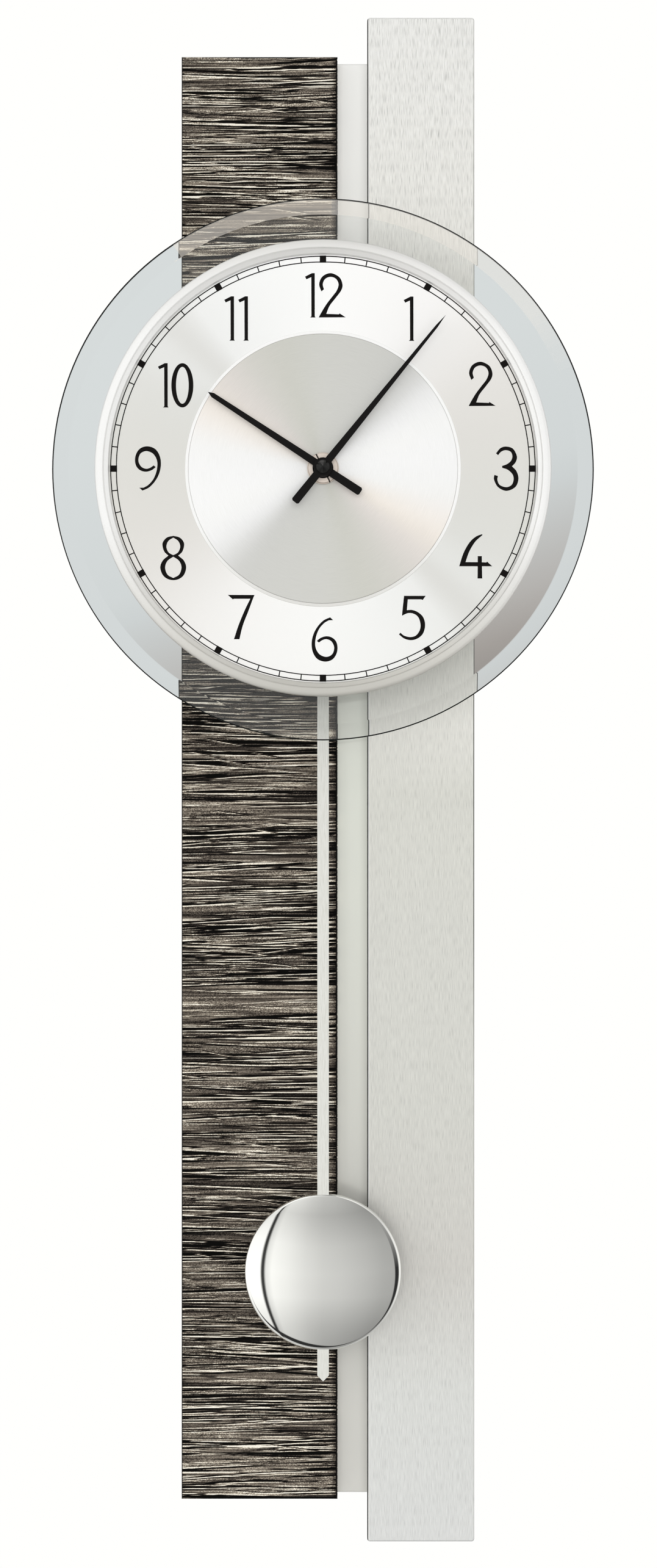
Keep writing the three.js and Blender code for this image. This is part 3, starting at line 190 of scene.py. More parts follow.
class Look(Graph):
    """A material that ends in one Principled shader, kept under its name."""

    def __init__(self, name, **inputs):
        MATERIALS[name] = bpy.data.materials.new(name)
        super().__init__(MATERIALS[name], "Object")
        self.shader = self.add("BsdfPrincipled")
        self.output = self.add("OutputMaterial")
        self.named(self.output, Surface=self.shader.outputs[0])
        self.named(self.shader, **inputs)

    def stretched(self, x, y, z):
        """Coordinates in which a unit is x, y and z millimetres of the object."""
        scale = (1 / (x * MM), 1 / (y * MM), 1 / (z * MM))
        return self.named(self.add("Mapping"), Vector=self.place, Scale=scale).outputs[0]

    def noise(self, place, detail, roughness):
        return self.named(self.add("TexNoise"), Vector=place, Scale=1.0, Detail=detail,
                          Roughness=roughness).outputs["Fac"]

    def texture(self, x, y, z, detail=3.0, roughness=0.5):
        """Noise whose unit is x, y and z millimetres of the object."""
        return self.noise(self.stretched(x, y, z), detail, roughness)

    def rings(self, radius, pitch_mm, along, detail, roughness):
        """Noise in rings of a pitch, which may change along the turn."""
        radius = self.math("DIVIDE", radius, pitch_mm * MM)
        place = self.fed("CombineXYZ", radius, along, 0.0)
        return self.noise(place, detail, roughness)

    def stained(self, colour, share, size_mm, low):
        """A colour that falls to a share of itself in soft clouds."""
        darker = tuple(c * share for c in colour[:3]) + (1.0,)
        cloud = self.texture(size_mm, size_mm, size_mm)
        self.colour(self.ramp(cloud, [(low, darker), (1 - low, colour)]))

    def colour(self, value):
        self.named(self.shader, Base_Color=value)

    def bump(self, height, distance_mm, strength):
        node = self.named(self.add("Bump"), Strength=strength, Distance=distance_mm * MM,
                          Height=height)
        self.named(self.shader, Normal=node.outputs[0])

    def worn(self, marks, low, high):
        """Roughness that goes from low to high with the marks."""
        self.named(self.shader, Roughness=self.span(marks, *MARKS, low, high))

    def finish(self, marks, low, high, depth_mm=0.0, strength=0.4):
        """Roughness and, where a depth is given, relief from the marks."""
        self.worn(marks, low, high)
        if depth_mm:
            self.bump(marks, depth_mm, strength)

    def clock_angle(self):
        """The clockwise turn from twelve about the hands' axis, 0 to 1, and the radius."""
        x, _, z = self.axes()
        rise = self.minus(z, AXIS.z)
        turn = self.math("FRACT", self.math("DIVIDE", self.math("ARCTAN2", x, rise), math.tau))
        square = self.math("ADD", self.times(x, x), self.times(rise, rise))
        return turn, self.math("SQRT", square)

    def cone(self, turn, table):
        """Tones round the axis, the same on both halves, from rows that begin with degrees."""
        half = self.math("FRACT", self.times(turn, 2.0))
        return self.tones(half, [(degrees / 180, *tone) for degrees, *tone in table], "B_SPLINE")


def moulded(name, colour, roughness, grain_mm=0.5, depth_mm=0.02, share=0.88):
    """Moulded plastic, rubber or nylon with a fine spark-eroded grain."""
    look = Look(name, Specular_IOR_Level=0.4)
    look.stained(colour, share, 18, 0.35)
    grain = look.texture(grain_mm, grain_mm, grain_mm, 2.0)
    look.finish(grain, roughness - 0.06, roughness + 0.08, depth_mm, 0.6)


def zinc_steel():
    """Plated steel with fine tool marks up and down and faint stains."""
    look = Look("zinc_steel", Metallic=1.0)
    look.stained(srgb(196, 198, 202), 0.76, 9, 0.3)
    look.finish(look.texture(1.2, 1.2, 4.0, 4.0, 0.6), 0.26, 0.44, 0.01, 0.5)


def plain(name, marks, tones, *ending, **inputs):
    """A material whose colour, roughness and relief follow one fine noise."""
    look = Look(name, **inputs)
    noise = look.texture(*marks)
    look.colour(look.tones(noise, tones))
    look.finish(noise, *ending)


# The ring nut's slots: their lean in degrees, and their half width and where their painted shade
# fades in millimetres
SLOT_LEAN = -26.5
HALF_SLOT = 0.28
SLOT_EDGE = (HALF_SLOT + 0.04, HALF_SLOT - 0.04)


def pale_brass():
    """The ring nut: pale, rubbed metal, with painted shade in its two slots and a painted shade
    line along its outer step.
    """
    look = Look("pale_brass", Metallic=0.5)
    x, _, z = look.axes()
    _, radius = look.clock_angle()
    lean = math.radians(SLOT_LEAN)
    across = look.scaled(x, math.cos(lean), look.times(look.minus(z, AXIS.z), -math.sin(lean)))
    # Painted shade in the two slots, and a painted shade line along the outer step
    slot = look.span_mm(look.math("ABSOLUTE", across), 0.0, *SLOT_EDGE)
    step = look.greys(look.span_mm(radius, 0.0, 5.9, 6.7), [
        (0.25, 0.0), (0.4, 0.55), (0.6, 0.55), (0.75, 0.0), (1.0, 0.2),
    ])
    rub = look.texture(0.8, 3.0, 0.8)
    tone = look.mix(rub, srgb(236, 222, 210), srgb(248, 236, 226))
    tone = look.mix(step, tone, srgb(120, 104, 92))
    look.colour(look.mix(slot, tone, srgb(26, 22, 20)))
    look.finish(rub, 0.3, 0.42)


GRAIN_TONES = [
    (0.0, 4, 4, 3), (0.17, 13, 11, 10), (0.27, 58, 52, 47), (0.42, 100, 92, 83),
    (0.58, 142, 132, 119), (0.7, 208, 198, 180), (0.82, 244, 237, 221), (1.00, 252, 247, 235),
]


def driftwood():
    """The panel's own faces: weathered grain that runs across, between black and taupe."""
    look = Look("driftwood", Specular_IOR_Level=0.3)
    strand = look.texture(110, 110, 1.3, 2.0)
    field = look.texture(200, 200, 8.0, 2.0)
    speck = look.texture(0.6, 0.6, 0.28, 1.0, 0.6)
    tone = look.scaled(speck, 0.3, look.scaled(strand, 1.5, look.times(field, 0.8)))
    look.colour(look.tones(look.span(tone, 0.85, 1.75), GRAIN_TONES))
    look.worn(speck, 0.5, 0.7)
    look.bump(tone, 0.25, 0.5)


def embossed_grain():
    """The front: its strokes are on the mesh, and fine specks and a little gloss are added."""
    look = Look("embossed_grain", Specular_IOR_Level=0.08)
    node = look.add("Attribute", attribute_type="GEOMETRY", attribute_name="grain")
    grain = node.outputs["Fac"]
    speck = look.texture(0.5, 0.5, 0.3, 1.0, 0.7)
    patch = look.texture(30, 30, 3, 2.0, 0.6)
    stray = look.times(look.minus(speck, 0.5), look.span(patch, 0.35, 0.65, 0.3, 1.0))
    stray = look.times(stray, look.span(grain, 0.1, 0.4, 0.25, 1.0))
    tone = look.scaled(stray, 1.1, grain)
    look.colour(look.tones(tone, GRAIN_TONES))
    look.worn(speck, 0.6, 0.8)
    look.bump(tone, 0.2, 0.3)


# Where the sheet's painted highlight along the fold and its painted shade lines fade, in
# millimetres from its box
FOLD_HIGHLIGHT = (0.95, 0.80)
LEFT_JOINT_SHADE = (0.50, 0.38)
RIGHT_SHADE_LINE = (-0.46, -0.38)
LINES_DEEP = (1.1, 0.8)
# Heights, in metres, between which the brushing grows strong
BRUSHING = (-0.12, 0.02)


def brushed_aluminium():
    """Sheet brushed up and down, with fine lines, a painted highlight along the fold, painted shade
    at the joint beside it and along the right edge, and painted light and shade by height.
    """
    look = Look("brushed_aluminium", Metallic=0.5)
    low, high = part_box("aluminium_face")
    x, y, z = look.axes()
    rise = look.span(z, low.z, high.z)
    line = look.texture(0.11, 0.11, 5, 1.0)
    coarse = look.texture(0.7, 0.7, 30, 2.0, 0.6)
    lines = look.span(look.scaled(coarse, 0.15, look.times(line, 0.85)), *MARKS)
    faint = look.greys(lines, [(0.0, 0.74), (0.5, 0.97), (1.0, 1.07)])
    strong = look.greys(lines, [(0.0, 0.50), (0.5, 0.99), (1.0, 1.09)])
    # Painted light and shade by height: lightest near the top, and a painted band of light just
    # below the dial, where its shade falls
    tone = look.tones(rise, [
        (0, 237, 238, 237), (0.1, 235, 236, 233), (0.18, 225, 223, 218), (0.28, 228, 228, 222),
        (0.4, 230, 230, 224), (0.49, 233, 233, 226), (0.535, 252, 251, 245), (0.6, 242, 241, 234),
        (0.7, 240, 239, 232), (0.85, 251, 250, 245), (1, 255, 255, 252),
    ])
    tone = look.mix(1.0, tone, look.mix(look.span(z, *BRUSHING), faint, strong), "MULTIPLY")
    # Painted highlight along the left fold, painted shade at the joint beside it, and painted shade
    # along the right edge, strongest at middle heights
    ahead = look.span_mm(y, low.y, *LINES_DEEP)
    fold_highlight = look.span_mm(x, low.x, *FOLD_HIGHLIGHT)
    joint_shade = look.times(look.span_mm(x, low.x, *LEFT_JOINT_SHADE), ahead)
    edge = look.times(look.span_mm(x, high.x, *RIGHT_SHADE_LINE), ahead)
    edge = look.times(edge, look.greys(rise, [
        (0.0, 0.15), (0.30, 0.25), (0.40, 0.9), (0.60, 0.95), (0.85, 0.6), (1.0, 0.25),
    ]))
    tone = look.mix(fold_highlight, tone, srgb(250, 250, 248))
    tone = look.mix(joint_shade, tone, srgb(16, 16, 15))
    look.colour(look.mix(edge, tone, srgb(52, 52, 50)))
    look.finish(line, 0.3, 0.44, 0.012, 0.5)


def mirror_strip():
    """The polished strip between the panels, with painted shading: bright above, a little greyer
    below.
    """
    look = Look("lacquer", Metallic=0.15)
    _, _, z = look.axes()
    # Painted shading by height: bright above, greyer below
    look.colour(look.tones(look.span(z, -0.6, 0.04), [
        (0, 221, 220, 215), (0.22, 227, 227, 221), (0.5, 246, 249, 240),
        (0.8, 255, 255, 252), (1, 255, 255, 253),
    ]))
    look.finish(look.texture(60, 60, 160, 2.0), 0.03, 0.07)


def dial_silver():
    """Satin dial with painted sheen: painted highlights above and below, greyer at the sides, two
    soft painted streaks, and painted shade towards the bottom.
    """
    look = Look("dial_silver", Metallic=0.2, Coat_Weight=0.1, Coat_Roughness=0.2)
    turn, _ = look.clock_angle()
    # Painted sheen: highlights above and below and two soft streaks, by the turn about the axis
    tone = look.cone(turn, [
        (0, 255, 255, 254), (34, 252, 251, 250), (60, 229, 226, 222), (90, 225, 224, 219),
        (116, 224, 224, 220), (127, 237, 238, 236), (134, 219, 218, 214), (142, 244, 245, 244),
        (180, 255, 255, 254),
    ])
    _, _, z = look.axes()
    # Painted shade: the dial darkens towards the bottom
    lower_shade = look.mix(look.span_mm(z, AXIS.z, -90, 60), (0.965, 0.965, 0.955, 1.0), (1, 1, 1, 1))
    tone = look.mix(1.0, tone, lower_shade, "MULTIPLY")
    satin = look.texture(0.35, 0.35, 0.35, 2.0, 0.6)
    look.colour(look.mix(look.span(satin, 0.2, 0.8, 0.0, 0.04), tone, srgb(190, 190, 190)))
    look.finish(satin, 0.32, 0.42, 0.004)


def turned_silver():
    """The centre disc, turned in fine rings, with two wedges of painted highlight, left and right
    of the axis.
    """
    look = Look("turned_silver", Metallic=0.3)
    turn, radius = look.clock_angle()
    # Painted highlight: two bright wedges round the turn, at three and at nine
    tone = look.cone(turn, [
        (0, 214, 214, 209), (30, 213, 213, 209), (40, 211, 211, 208), (48, 232, 232, 231),
        (54, 245, 245, 245), (60, 251, 251, 251), (68, 255, 255, 254), (76, 255, 255, 255),
        (84, 255, 255, 255), (92, 254, 254, 254), (102, 253, 253, 252), (110, 252, 248, 244),
        (118, 251, 244, 236), (124, 242, 235, 227), (130, 233, 227, 222), (136, 227, 222, 217),
        (144, 218, 216, 210), (152, 214, 213, 206), (162, 210, 210, 202), (172, 213, 213, 207),
        (180, 214, 214, 209),
    ])
    rings = look.rings(radius, 0.2, look.times(turn, 40.0), 3.0, 0.7)
    look.colour(look.mix(look.span(rings, 0.3, 0.75, 0.0, 0.12), tone, srgb(150, 149, 145)))
    look.finish(rings, 0.3, 0.42, 0.004)


def bezel_silver():
    """Satin ring with painted light by height: painted highlight at the sides where the side lights
    meet it, painted shade at its foot and a little at its top.
    """
    look = Look("bezel_silver", Metallic=0.25, Coat_Weight=0.1)
    _, _, z = look.axes()
    # Painted light and shade by height
    tone = look.tones(look.span_mm(z, AXIS.z, -97, 97), [
        (0, 196, 194, 187), (0.1, 213, 211, 205), (0.38, 250, 250, 249),
        (0.78, 252, 252, 251), (0.93, 242, 241, 239), (1, 230, 229, 226),
    ])
    satin = look.texture(0.5, 0.5, 0.5, 3.0, 0.6)
    look.colour(look.mix(look.span(satin, 0.3, 0.8, 0.0, 0.06), tone, srgb(190, 188, 184)))
    look.finish(satin, 0.3, 0.4, 0.005)


SHADOW_TINT = (0.97, 0.975, 0.975, 1.0)


def clear_glass(name, clearness, low_tint, high_tint):
    """Polished glass, or a step of its bevel, whose lower clearness and pinker tint are a painted
    reflection. Lamps reach what is behind it.
    """
    look = Look(name, Transmission_Weight=clearness, IOR=1.5, Roughness=0.0)
    look.colour(look.ramp(look.texture(70, 70, 90), [(0.3, low_tint), (0.7, high_tint)]))
    shadow = look.add("LightPath").outputs["Is Shadow Ray"]
    through = look.fed("BsdfTransparent", SHADOW_TINT)
    both = look.fed("MixShader", shadow, look.shader.outputs[0], through)
    look.named(look.output, Surface=both)


def ground_edge(name, low_tone, high_tone):
    """The ground rim of the glass, green-grey, or its arrises, painted near black as shade."""
    look = Look(name, Specular_IOR_Level=0.15, Roughness=0.3)
    grit = look.texture(1.2, 1.2, 1.2)
    look.colour(look.tones(grit, [(0.3, *low_tone), (0.7, *high_tone)]))
    look.bump(grit, 0.02, 0.4)


def turned_black():
    """Glossy black with fine turning rings about the hands' axis, and painted glints in wedges
    round it.
    """
    look = Look("turned_black", Specular_IOR_Level=0.25)
    turn, radius = look.clock_angle()
    rings = look.rings(radius, 0.16, 0.0, 2.0, 0.6)
    painted_glint = look.tones(turn, [
        (0, 96, 94, 94), (0.04, 44, 42, 42), (0.08, 12, 12, 12), (0.45, 10, 10, 10),
        (0.52, 34, 33, 33), (0.58, 10, 10, 10), (0.88, 12, 12, 12), (0.93, 86, 84, 84),
    ])
    look.colour(look.mix(look.span(rings, 0.4, 0.6), srgb(10, 10, 10), painted_glint))
    look.finish(rings, 0.12, 0.22, 0.03, 0.6)


def fibreboard():
    look = Look("fibreboard", Specular_IOR_Level=0.2)
    fibre = look.texture(0.7, 0.7, 2.2, 4.0, 0.7)
    cloud = look.span(look.texture(25, 25, 25, 2.0), *MARKS, 0.0, 0.25)
    tone = look.tones(fibre, [(0.3, 140, 112, 80), (0.5, 172, 143, 106), (0.7, 198, 172, 134)])
    look.colour(look.mix(cloud, tone, srgb(120, 94, 66)))
    look.finish(fibre, 0.85, 0.95, 0.05, 0.6)


def wound_copper():
    """Enamelled wire laid side by side, with painted shade between the turns and a painted
    highlight along each turn.
    """
    look = Look("copper", Metallic=0.9)
    node = look.add("TexWave", wave_type="BANDS", bands_direction="X")
    look.named(node, Vector=look.stretched(1, 1, 1), Scale=1.4, Distortion=0.4)
    wires = node.outputs["Fac"]
    look.colour(look.tones(wires, [(0, 96, 44, 22), (0.5, 176, 92, 50), (1, 222, 140, 92)]))
    look.named(look.shader, Roughness=look.span(wires, 0, 1, 0.45, 0.28))
    look.bump(wires, 0.08, 0.7)


def solder_mask():
    """Green board with paler tracks that run at right angles."""
    look = Look("circuit", Coat_Weight=0.4, Roughness=0.4)
    tracks = look.named(look.add("TexBrick"), Vector=look.stretched(3, 3, 3),
                        Color1=srgb(28, 92, 50), Color2=srgb(34, 104, 58),
                        Mortar=srgb(60, 138, 84), Scale=1.0, Mortar_Size=0.04)
    look.colour(tracks.outputs["Color"])
    look.bump(tracks.outputs["Fac"], 0.03, 0.6)


def cell_sleeve():
    """A plain grey sleeve with a darker band and bright metal ends."""
    look = Look("cell_sleeve", Metallic=0.4)
    low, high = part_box("battery")
    x, _, _ = look.axes()
    look.colour(look.tones(look.span(x, low.x, high.x), [
        (0, 198, 200, 202), (0.03, 120, 126, 132), (0.63, 58, 62, 68), (0.94, 204, 206, 208),
    ], "CONSTANT"))
    look.finish(look.texture(6, 3, 3, 4.0, 0.6), 0.28, 0.45, 0.01)


for make in (mirror_strip, driftwood, embossed_grain, fibreboard, brushed_aluminium, zinc_steel,
             dial_silver, turned_silver, bezel_silver, pale_brass, turned_black, cell_sleeve,
             solder_mask, wound_copper):
    make()
moulded("pale_plastic", srgb(226, 226, 222), 0.5)
moulded("rubber", srgb(38, 38, 39), 0.75, 0.8, 0.04)
moulded("dark_plastic", srgb(40, 40, 43), 0.48, 0.6, 0.03)
moulded("nylon", srgb(236, 233, 222), 0.42, 0.9, 0.01, 0.94)
plain("black_enamel", (0.5, 0.5, 0.5, 2.0), [(0, 12, 11, 11), (1, 24, 22, 22)],
      0.34, 0.46, 0.006, Specular_IOR_Level=0.1)
plain("printing_ink", (0.4, 0.4, 0.4, 2.0), [(0, 10, 9, 9), (1, 24, 21, 20)],
      0.42, 0.58, Specular_IOR_Level=0.08)
plain("satin_aluminium", (0.3, 0.3, 6, 3.0, 0.7),
      [(0.3, 216, 216, 209), (0.5, 231, 231, 225), (0.7, 240, 240, 236)],
      0.3, 0.45, 0.012, 0.5, Metallic=0.4)
plain("polished_chrome", (24, 24, 24), [(0.3, 246, 246, 244), (0.7, 248, 248, 246)],
      0.02, 0.035, Metallic=1.0)
clear_glass("clear_glass", 1.0, (0.978, 0.986, 0.983, 1.0), (0.986, 0.992, 0.989, 1.0))
ground_edge("glass_edge", (84, 100, 96), (120, 138, 133))
# The arrises: painted shade, near black, for the glass's dark outline
ground_edge("glass_arris", (5, 7, 7), (15, 19, 18))
# Painted reflection: the bevel is less clear and pinker in each step, and warm where it stands over
# the wood
BEVEL_STEPS = 8
for step in range(BEVEL_STEPS):
    clear_glass(f"ground_bevel_{step}", 1.0 - 0.26 * step / (BEVEL_STEPS - 1),
                (0.985, 0.99 - 0.0056 * step, 0.99 - 0.0120 * step, 1.0),
                (0.99, 0.992 - 0.0048 * step, 0.99 - 0.0110 * step, 1.0))
clear_glass("ground_bevel_warm", 0.72, (0.99, 0.925, 0.84, 1.0), (0.99, 0.935, 0.86, 1.0))

for row in frame["record"]["subparts"]:
    materials = frame["nodes"][row["node"]].data.materials
    materials.clear()
    materials.append(MATERIALS[row["material_slot"]])


def outward(vertices, faces):
    """The faces turned so that the solid's volume is positive."""
    points = [Vector(v) for v in vertices]
    volume = sum(points[face[0]].dot(points[second].cross(points[third]))
                 for face in faces for second, third in zip(face[1:-1], face[2:]))
    return [tuple(reversed(face)) for face in faces] if volume < 0 else faces


def piece(name, form, body, slot, stands_for=(), look=None, sharp=30):
    """A new closed piece in row coordinates, smooth apart from edges over the sharp angle.

    It has the look of its slot, or another one."""
    vertices, faces = form
    mesh = bpy.data.meshes.new(name)
    mesh.from_pydata([tuple(v) for v in vertices], [], outward(vertices, faces))
    mesh.validate()
    mesh.polygons.foreach_set("use_smooth", [True] * len(mesh.polygons))
    mesh.set_sharp_from_angle(angle=math.radians(sharp))
    mesh.materials.append(MATERIALS[look or slot])
    made = bpy.data.objects.new(name, mesh)
    bpy.context.scene.collection.objects.link(made)
    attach(made, body)
    if stands_for:
        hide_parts(*stands_for)
    return made


def filleted(corners, steps=6):
    """A closed profile of (radius, y, fillet) corners, in millimetres, with its corners rounded."""
    profile = []
    for index, (radius, y, fillet) in enumerate(corners):
        here = Vector((radius, y))
        if fillet <= 0:
            profile.append(here)
            continue
        before = Vector(corners[index - 1][:2]) - here
        after = Vector(corners[(index + 1) % len(corners)][:2]) - here
        half = before.angle(after) / 2
        reach = min(fillet / math.tan(half), before.length * 0.48, after.length * 0.48)
        start = here + before.normalized() * reach
        end = here + after.normalized() * reach
        for step in range(steps + 1):
            share = step / steps
            profile.append(start.lerp(here, share).lerp(here.lerp(end, share), share))
    return profile


def lathe(profile, segments, centre=AXIS):
    """A profile of (radius, y) millimetres turned about the front-to-back axis at a centre.

    One that begins on the axis has to end on it. Any other is closed."""
    vertices = []
    rings = []
    for radius, y in profile:
        count = segments if radius > 1e-6 else 1
        rings.append(range(len(vertices), len(vertices) + count))
        for step in range(count):
            angle = math.tau * step / segments
            vertices.append((centre.x + radius * MM * math.sin(angle), y * MM,
                             centre.z + radius * MM * math.cos(angle)))
    if len(rings[0]) > 1:
        rings.append(rings[0])
    faces = []
    for low, high in zip(rings, rings[1:]):
        for here in range(segments):
            after = (here + 1) % segments
            corners = (low[here % len(low)], high[here % len(high)],
                       high[after % len(high)], low[after % len(low)])
            faces.append(tuple(dict.fromkeys(corners)))
    return vertices, faces


def prism(outlines, back, front):
    """Outlines of (x, z) millimetres from the hands' axis, made thick. The later are holes."""
    flat = [point for outline in outlines for point in outline]
    caps = tessellate_polygon([[Vector((x, z, 0)) for x, z in outline] for outline in outlines])
    count = len(flat)
    vertices = [(x * MM, y * MM, z * MM + AXIS.z) for y in (back, front) for x, z in flat]
    faces = []
    for a, b, c in caps:
        (ax, az), (bx, bz), (cx, cz) = flat[a], flat[b], flat[c]
        if (bx - ax) * (cz - az) < (bz - az) * (cx - ax):
            b, c = c, b
        faces.append((a + count, b + count, c + count))
        faces.append((c, b, a))
    start = 0
    for order, outline in enumerate(outlines):
        area = sum(outline[i - 1][0] * outline[i][1] - outline[i][0] * outline[i - 1][1]
                   for i in range(len(outline)))
        around = list(range(start, start + len(outline)))
        start += len(outline)
        if (area > 0) != (order == 0):
            around.reverse()
        for here, after in zip(around, around[1:] + around[:1]):
            faces.append((here, after, after + count, here + count))
    return vertices, faces


def combined(forms):
    """Several closed forms as the vertices and faces of one."""
    vertices = []
    faces = []
    for more_vertices, more_faces in forms:
        shift = len(vertices)
        vertices.extend(more_vertices)
        faces.extend(tuple(index + shift for index in face) for face in more_faces)
    return vertices, faces


def curve_through(points, steps=7):
    """A smooth line through points, as a cubic spline."""
    if len(points) < 3:
        return list(points)
    points = [np.array(p, float) for p in points]
    ends = [2 * points[0] - points[1], *points, 2 * points[-1] - points[-2]]
    line = []
    for a, b, c, d in zip(ends, ends[1:], ends[2:], ends[3:]):
        for step in range(steps):
            t = step / steps
            line.append(tuple(0.5 * (
                2 * b + (c - a) * t + (2 * a - 5 * b + 4 * c - d) * t ** 2
                + (3 * b - a - 3 * c + d) * t ** 3)))
    line.append(tuple(points[-1]))
    return line


def outline_of(runs):
    """Corners, and lists of points along a curve. A curve starts where the last run ended."""
    outline = []
    runs = [run if isinstance(run, list) else [run] for run in runs]
    last = runs[-1][-1]
    for run in runs:
        outline.extend(curve_through([last, *run])[1:])
        last = run[-1]
    return outline


# Numerals, in hundredths of their height, each point given
ONE = [
    (3.8, 100), (-2.6, 100), (-18.1, 92.1), (-14.9, 86.2), (-4, 91),
    (-3.7, 2.8), (-6.4, 0), (5.6, 0), (3.9, 2.8),
]
TWO = [
    (60.9, 0.4), (47, 9.2), (45.9, 7.1), (17.1, 8.1),
    [(24.6, 26.3), (38.5, 44.4), (51.0, 61.5), (53.6, 75), (46.5, 91), (27, 100),
     (8.5, 92.5), (1.1, 75.5), (6, 58.8)],
    (11.8, 63.7),
    [(9.2, 75.4), (14.6, 87), (27.1, 91.7), (39.2, 87), (44.9, 74.8), (40.6, 60.5),
     (31, 47.6), (18.6, 31.5), (8.5, 15.6), (0, 0)],
]
THREE = [
    [(14.6, 96.2), (27.2, 100), (42.9, 95.2), (51.9, 78.4), (49.2, 64.9), (40.8, 55.4)],
    [(51.3, 43.9), (55.4, 26.2), (48.2, 8.4), (28.2, 0), (9.4, 8.4), (0.4, 25.1), (1, 36)],
    (9, 33.5),
    [(8, 24.1), (13.6, 13), (28.2, 8.4), (40.2, 13.6), (44.6, 26.2), (41.8, 37.7),
     (31.3, 47.6), (18.8, 52.1)],
    (18.4, 56.1),
    [(30.3, 60.7), (38.7, 68), (41.8, 77.8), (38.2, 87.9), (27.2, 91.8), (16.5, 88.4),
     (9.4, 80.5)],
    (4.8, 84.7),
]
FOUR = [
    (52.8, 98.3), [(36.2, 82.9), (22.9, 61), (14.3, 37)], (41.9, 36.8), (41.9, 50.5),
    (51.2, 50.5), (51.2, 36.6), (61.5, 36.2), (62.9, 38.1), (74.7, 27.6),
    (51.4, 27.6), (52, 0), (41.5, 0), (41.9, 27.6), (0, 27.6),
    [(10, 58), (23.8, 81.9), (38, 94.6), (51.4, 100)],
]
FIVE = [
    (60.4, 100), (53.5, 90.5), (50.5, 92.1), (19.9, 92.1), (17.8, 67.7),
    [(30, 68), (43, 63), (54.6, 51.8), (59, 34.5), (54.4, 15.3), (42, 3.8), (26.8, 0),
     (12, 3.6), (0, 12.8)],
    (3.2, 16.8),
    [(12, 10), (25.8, 6.9), (38.7, 10.8), (47, 22.7), (48.6, 36.5), (43.6, 51.8),
     (33.2, 59.6), (20.4, 61), (6.7, 55.2)],
    (11.4, 100),
]
SIX = [
    (48.6, 93.6), (39.1, 93.4),
    [(28.1, 86.8), (17.1, 74), (10.3, 57.4), (7.9, 40.2), (10.6, 27.1), (18, 16.6),
     (28.8, 11.3), (38, 11.6), (46.3, 16.6), (50.5, 26.4), (50.1, 36.3), (44, 46.4),
     (33.6, 50.7), (24.2, 48.4), (16.5, 43.1)],
    (11.6, 46.8),
    [(20.9, 53.8), (33.6, 57.3), (46.2, 54.3), (55.4, 45.2), (58.5, 31.4), (55.6, 16.5),
     (46.2, 4.4), (30.3, 0), (13.2, 5.8), (3, 20.9), (0, 40.2), (3.5, 60), (12.7, 78),
     (26.6, 92.8), (41.8, 100)],
]
SEVEN = [
    (60.4, 99.8), [(56.4, 90.6), (47, 64.9), (34, 31.3), (26.2, 0)], (13.9, 0),
    [(24.2, 31.3), (38, 64.9), (50.8, 91.3)], (13.4, 91.3), (11.6, 89.7), (0, 100),
]
EIGHT = [
    [(43.8, 96.2), (53, 85.5), (53.2, 74.4), (49, 63.4), (40.5, 55.4)],
    [(53, 44.5), (58.4, 29.4), (53.8, 12.6), (43, 3), (29.4, 0), (15.8, 3), (5, 12.6),
     (0, 29.4), (5.8, 44.5), (18.3, 55.4)],
    [(9.8, 63.4), (5.6, 74.4), (5.8, 85.5), (15, 96.2), (29.4, 100)],
]
EIGHT_UPPER = [
    [(39.6, 89.4), (44.4, 80.5), (44.4, 71.5), (39.4, 62), (29.4, 56.4)],
    [(19.4, 62), (14.4, 71.5), (14.4, 80.5), (19.2, 89.4), (29.4, 96)],
]
EIGHT_LOWER = [
    [(42.5, 43.5), (47.9, 28.8), (42.5, 12.5), (29.4, 4.8)],
    [(16.3, 12.5), (10.9, 28.8), (16.3, 43.5), (29.4, 53)],
]


def oval(half_width, half_height, steps=64):
    return [(half_width * (1 + math.cos(math.tau * s / steps)),
             half_height * (1 + math.sin(math.tau * s / steps))) for s in range(steps)]


GLYPHS = {digit: [outline_of(runs) for runs in curves] for digit, curves in {
    "1": [ONE], "2": [TWO], "3": [THREE], "4": [FOUR], "5": [FIVE], "6": [SIX], "7": [SEVEN],
    "8": [EIGHT, EIGHT_UPPER, EIGHT_LOWER],
}.items()}
GLYPHS["9"] = [[(58.5 - x, 100 - y) for x, y in GLYPHS["6"][0]]]
GLYPHS["0"] = [oval(24.8, 50), [(x + 10.4, y + 8.4) for x, y in oval(14.4, 41.6)]]

DIGIT_HEIGHT = 18.75
INK_THICKNESS = 0.07
# Digits, their foot and each one's left edge (a one's stem), in millimetres from the hands' axis
DIGIT_PLACES = [
    ("1", 54.1, 37.6), ("2", 26.5, 61.7), ("3", -9.4, 72.4), ("4", -46.5, 57.7),
    ("5", -72.6, 32.2), ("6", -81.7, -4.8), ("7", -72.2, -40.3), ("8", -47.2, -68.9),
    ("9", -9.3, -79.6), ("10", 25.9, -66.5, -64.2), ("11", 54.2, -38.4, -32.5),
    ("12", 64.0, -4.2, -1.8),
]
INK_BACK = DIAL_FRONT + INK_THICKNESS / 2
INK_TOP = DIAL_FRONT - INK_THICKNESS


def printed(name, forms):
    piece(name, combined(forms), "stand", "dial_silver", look="printing_ink", sharp=20)


def numerals():
    for hour, foot, *lefts in DIGIT_PLACES:
        forms = []
        for glyph, left in zip(hour, lefts):
            outlines = [[(x * DIGIT_HEIGHT / 100 + left, y * DIGIT_HEIGHT / 100 + foot)
                         for x, y in line] for line in GLYPHS[glyph]]
            forms.append(prism(outlines, INK_BACK, INK_TOP))
        printed(f"numeral_{hour}", forms)


